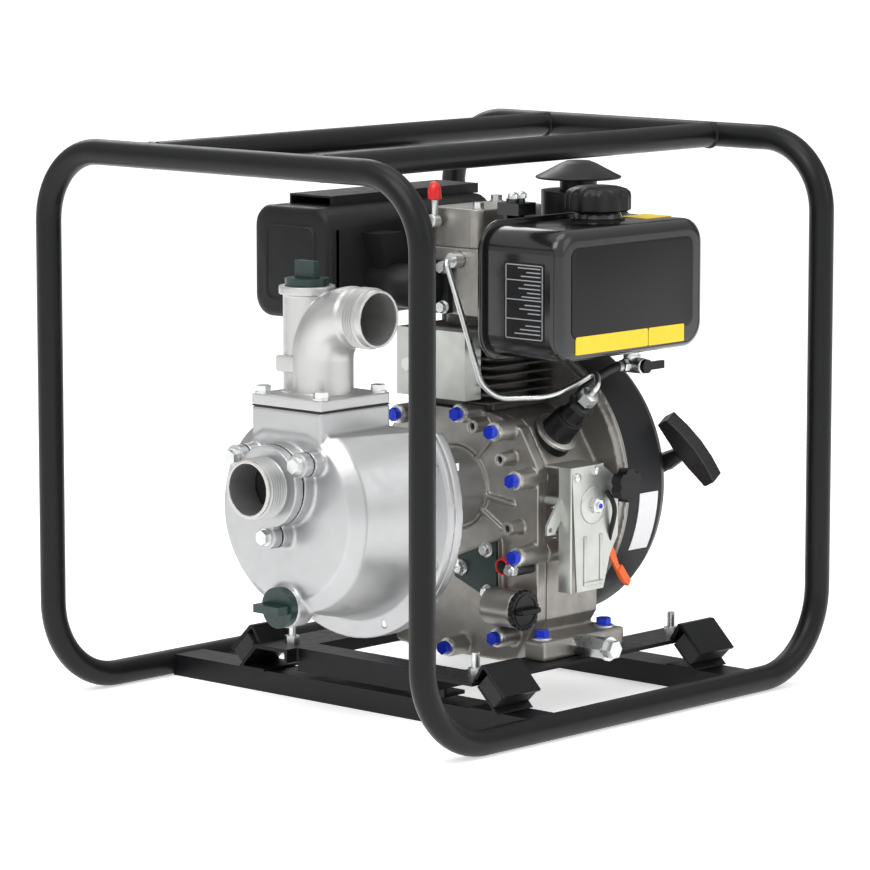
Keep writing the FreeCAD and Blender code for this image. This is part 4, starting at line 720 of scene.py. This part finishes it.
# ---- Controls ---------------------------------------------------------------------------------------
FRONT = -174.0
face = Shape()
face.lathe("-Y", (36, FRONT, 202), [(0, 19), (1.2, 18.5), (2.2, 14), (2.2, 0)], 64)
face.box((22, FRONT - 1.2, 126), (26, FRONT, 172))
face.box((46, FRONT - 1.2, 126), (50, FRONT, 172))
face.box((22, FRONT - 1.2, 122), (50, FRONT, 126))
face.box((2.2, FRONT, 117), (4.6, -158, 242))
extra("panel_embossing", face, "pressed_zinc", "regulator_panel", 0.5)
extra("pivot_nut", Shape().hexagon("-Y", (36, FRONT - 2, 202), 14, 6).rod("-Y", (36, FRONT - 8, 202), 2, 8),
      "zinc", "zinc_fasteners")
extra("pivot_mark", Shape().rod("-Y", (36, FRONT - 10, 202), 0.5, 5), "bolt_blue", "crankcase_bolts")
spring = [(8 + 4 * math.cos(0.9 * n), -148 + 4 * math.sin(0.9 * n), 168 + 0.55 * n) for n in range(70)]
extra("governor_spring", Shape().sweep(spring, 1.3, 8), "steel", "zinc_fasteners")
tip = Shape().prism("XZ", [(86, 136), (100, 118), (96, 112), (88, 118), (80, 130)], -170.5, -165)
cable = [(54, -176, 214), (60, -181, 204), (64, -180, 190), (60, -177, 176), (64, -170, 160)]
extra("stop_cable", Shape().sweep(cable, 5, 14, 4), "black_plastic", "regulator_panel")
screws = Shape()
for x, z in ((11, 232), (40, 236)):
    screws.lathe("-Y", (x, FRONT, z), [(0, 4.6), (2.4, 4.2), (3.4, 2.6), (3.4, 0)], 28)
extra("panel_screws", screws, "zinc", "zinc_fasteners")
extra("lever_tip", tip, "orange_plastic", "speed_lever", 1.2)
piece("decompression_stem", Shape().rod("X", (-27, -13, 478), 10, 13).rod("Z", (-21, -13, 478), 22, 7),
      "zinc",
      BODY_OF["decompression_lever"], SLOT_OF["decompression_lever"], ("decompression_lever",), 0.8)
extra("red_tip", Shape().lathe("Z", (-21, -13, 499), [(0, 5.5), (1, 7), (12, 6.4), (17, 4), (19, 0)], 32),
      "red_plastic", "decompression_lever")
bosses = Shape()
for at, height in (((8, -92, 503), 7), ((20, -92, 503), 7)):
    bosses.lathe("Z", at, [(0, 5.6), (height - 3, 5.4), (height - 1, 3.6), (height, 0)], 28)
extra("clamp_domes", bosses, "zinc", "zinc_fasteners")

# ---- Fan housing and starter ------------------------------------------------------------------------
recast("recoil_cover", "fan_grey", 1.5, 3)
# Thin dark discs over the vent openings: painted shade standing in for the shadowed hollows behind the
# vents, which are not cut as holes
slots = Shape()
for turn in range(0, 360, 30):
    a = math.radians(turn)
    at = Vector((176.2, PORT_Y + 58 * math.cos(a), CRANK_Z + 58 * math.sin(a)))
    slots.rod("X", at, 0.6, 13)
extra("recoil_vent_shade", slots, "vent_shade_paint", "recoil_cover")
extra("fan_edge", Shape().ring("-X", (90, PORT_Y, CRANK_Z), 3, 291.6, 276, 120), "engine_casting",
      "fan_housing", 0.8)
label_ring = [[(x, PORT_Y + 146.6 * math.cos(a), CRANK_Z + 146.6 * math.sin(a)) for x in (104, 132)]
              for a in np.radians(np.linspace(182, 206, 14))]
sticker = Shape()
inside = [[(x, PORT_Y + 145.4 * math.cos(a), CRANK_Z + 145.4 * math.sin(a)) for x in (132, 104)]
          for a in np.radians(np.linspace(182, 206, 14))]
sticker.surface([one + two for one, two in zip(label_ring, inside)])
extra("white_label", sticker, "label_white", "fan_housing")

recast("recoil_handle", "grip_black", 0.8, 6)
recast("injection_pump", "black_plastic", 0.8, 3)

# ---- Frame ------------------------------------------------------------------------------------------
for name in ("isolator_rubbers", "isolator_brackets", "subframe"):
    recast(name, "rubber" if name == "isolator_rubbers" else "bracket_black", 1.0, 3)
beads = Shape()
for x in (-297.3, 297.3):
    for y in (-114, 113):
        beads.lathe("X" if x < 0 else "-X", (x + (10.5 if x < 0 else -10.5), y, 552.3),
                    [(0, 12.2), (1, 14.4), (3.4, 13.9), (4.6, 12.6), (0, 12)], 40, loop=True)
beads.moved(lambda place: place.z > 564.9, lambda place: Vector((place.x, place.y, 564.9)))
extra("weld_beads", beads, "frame_black", "top_bars")
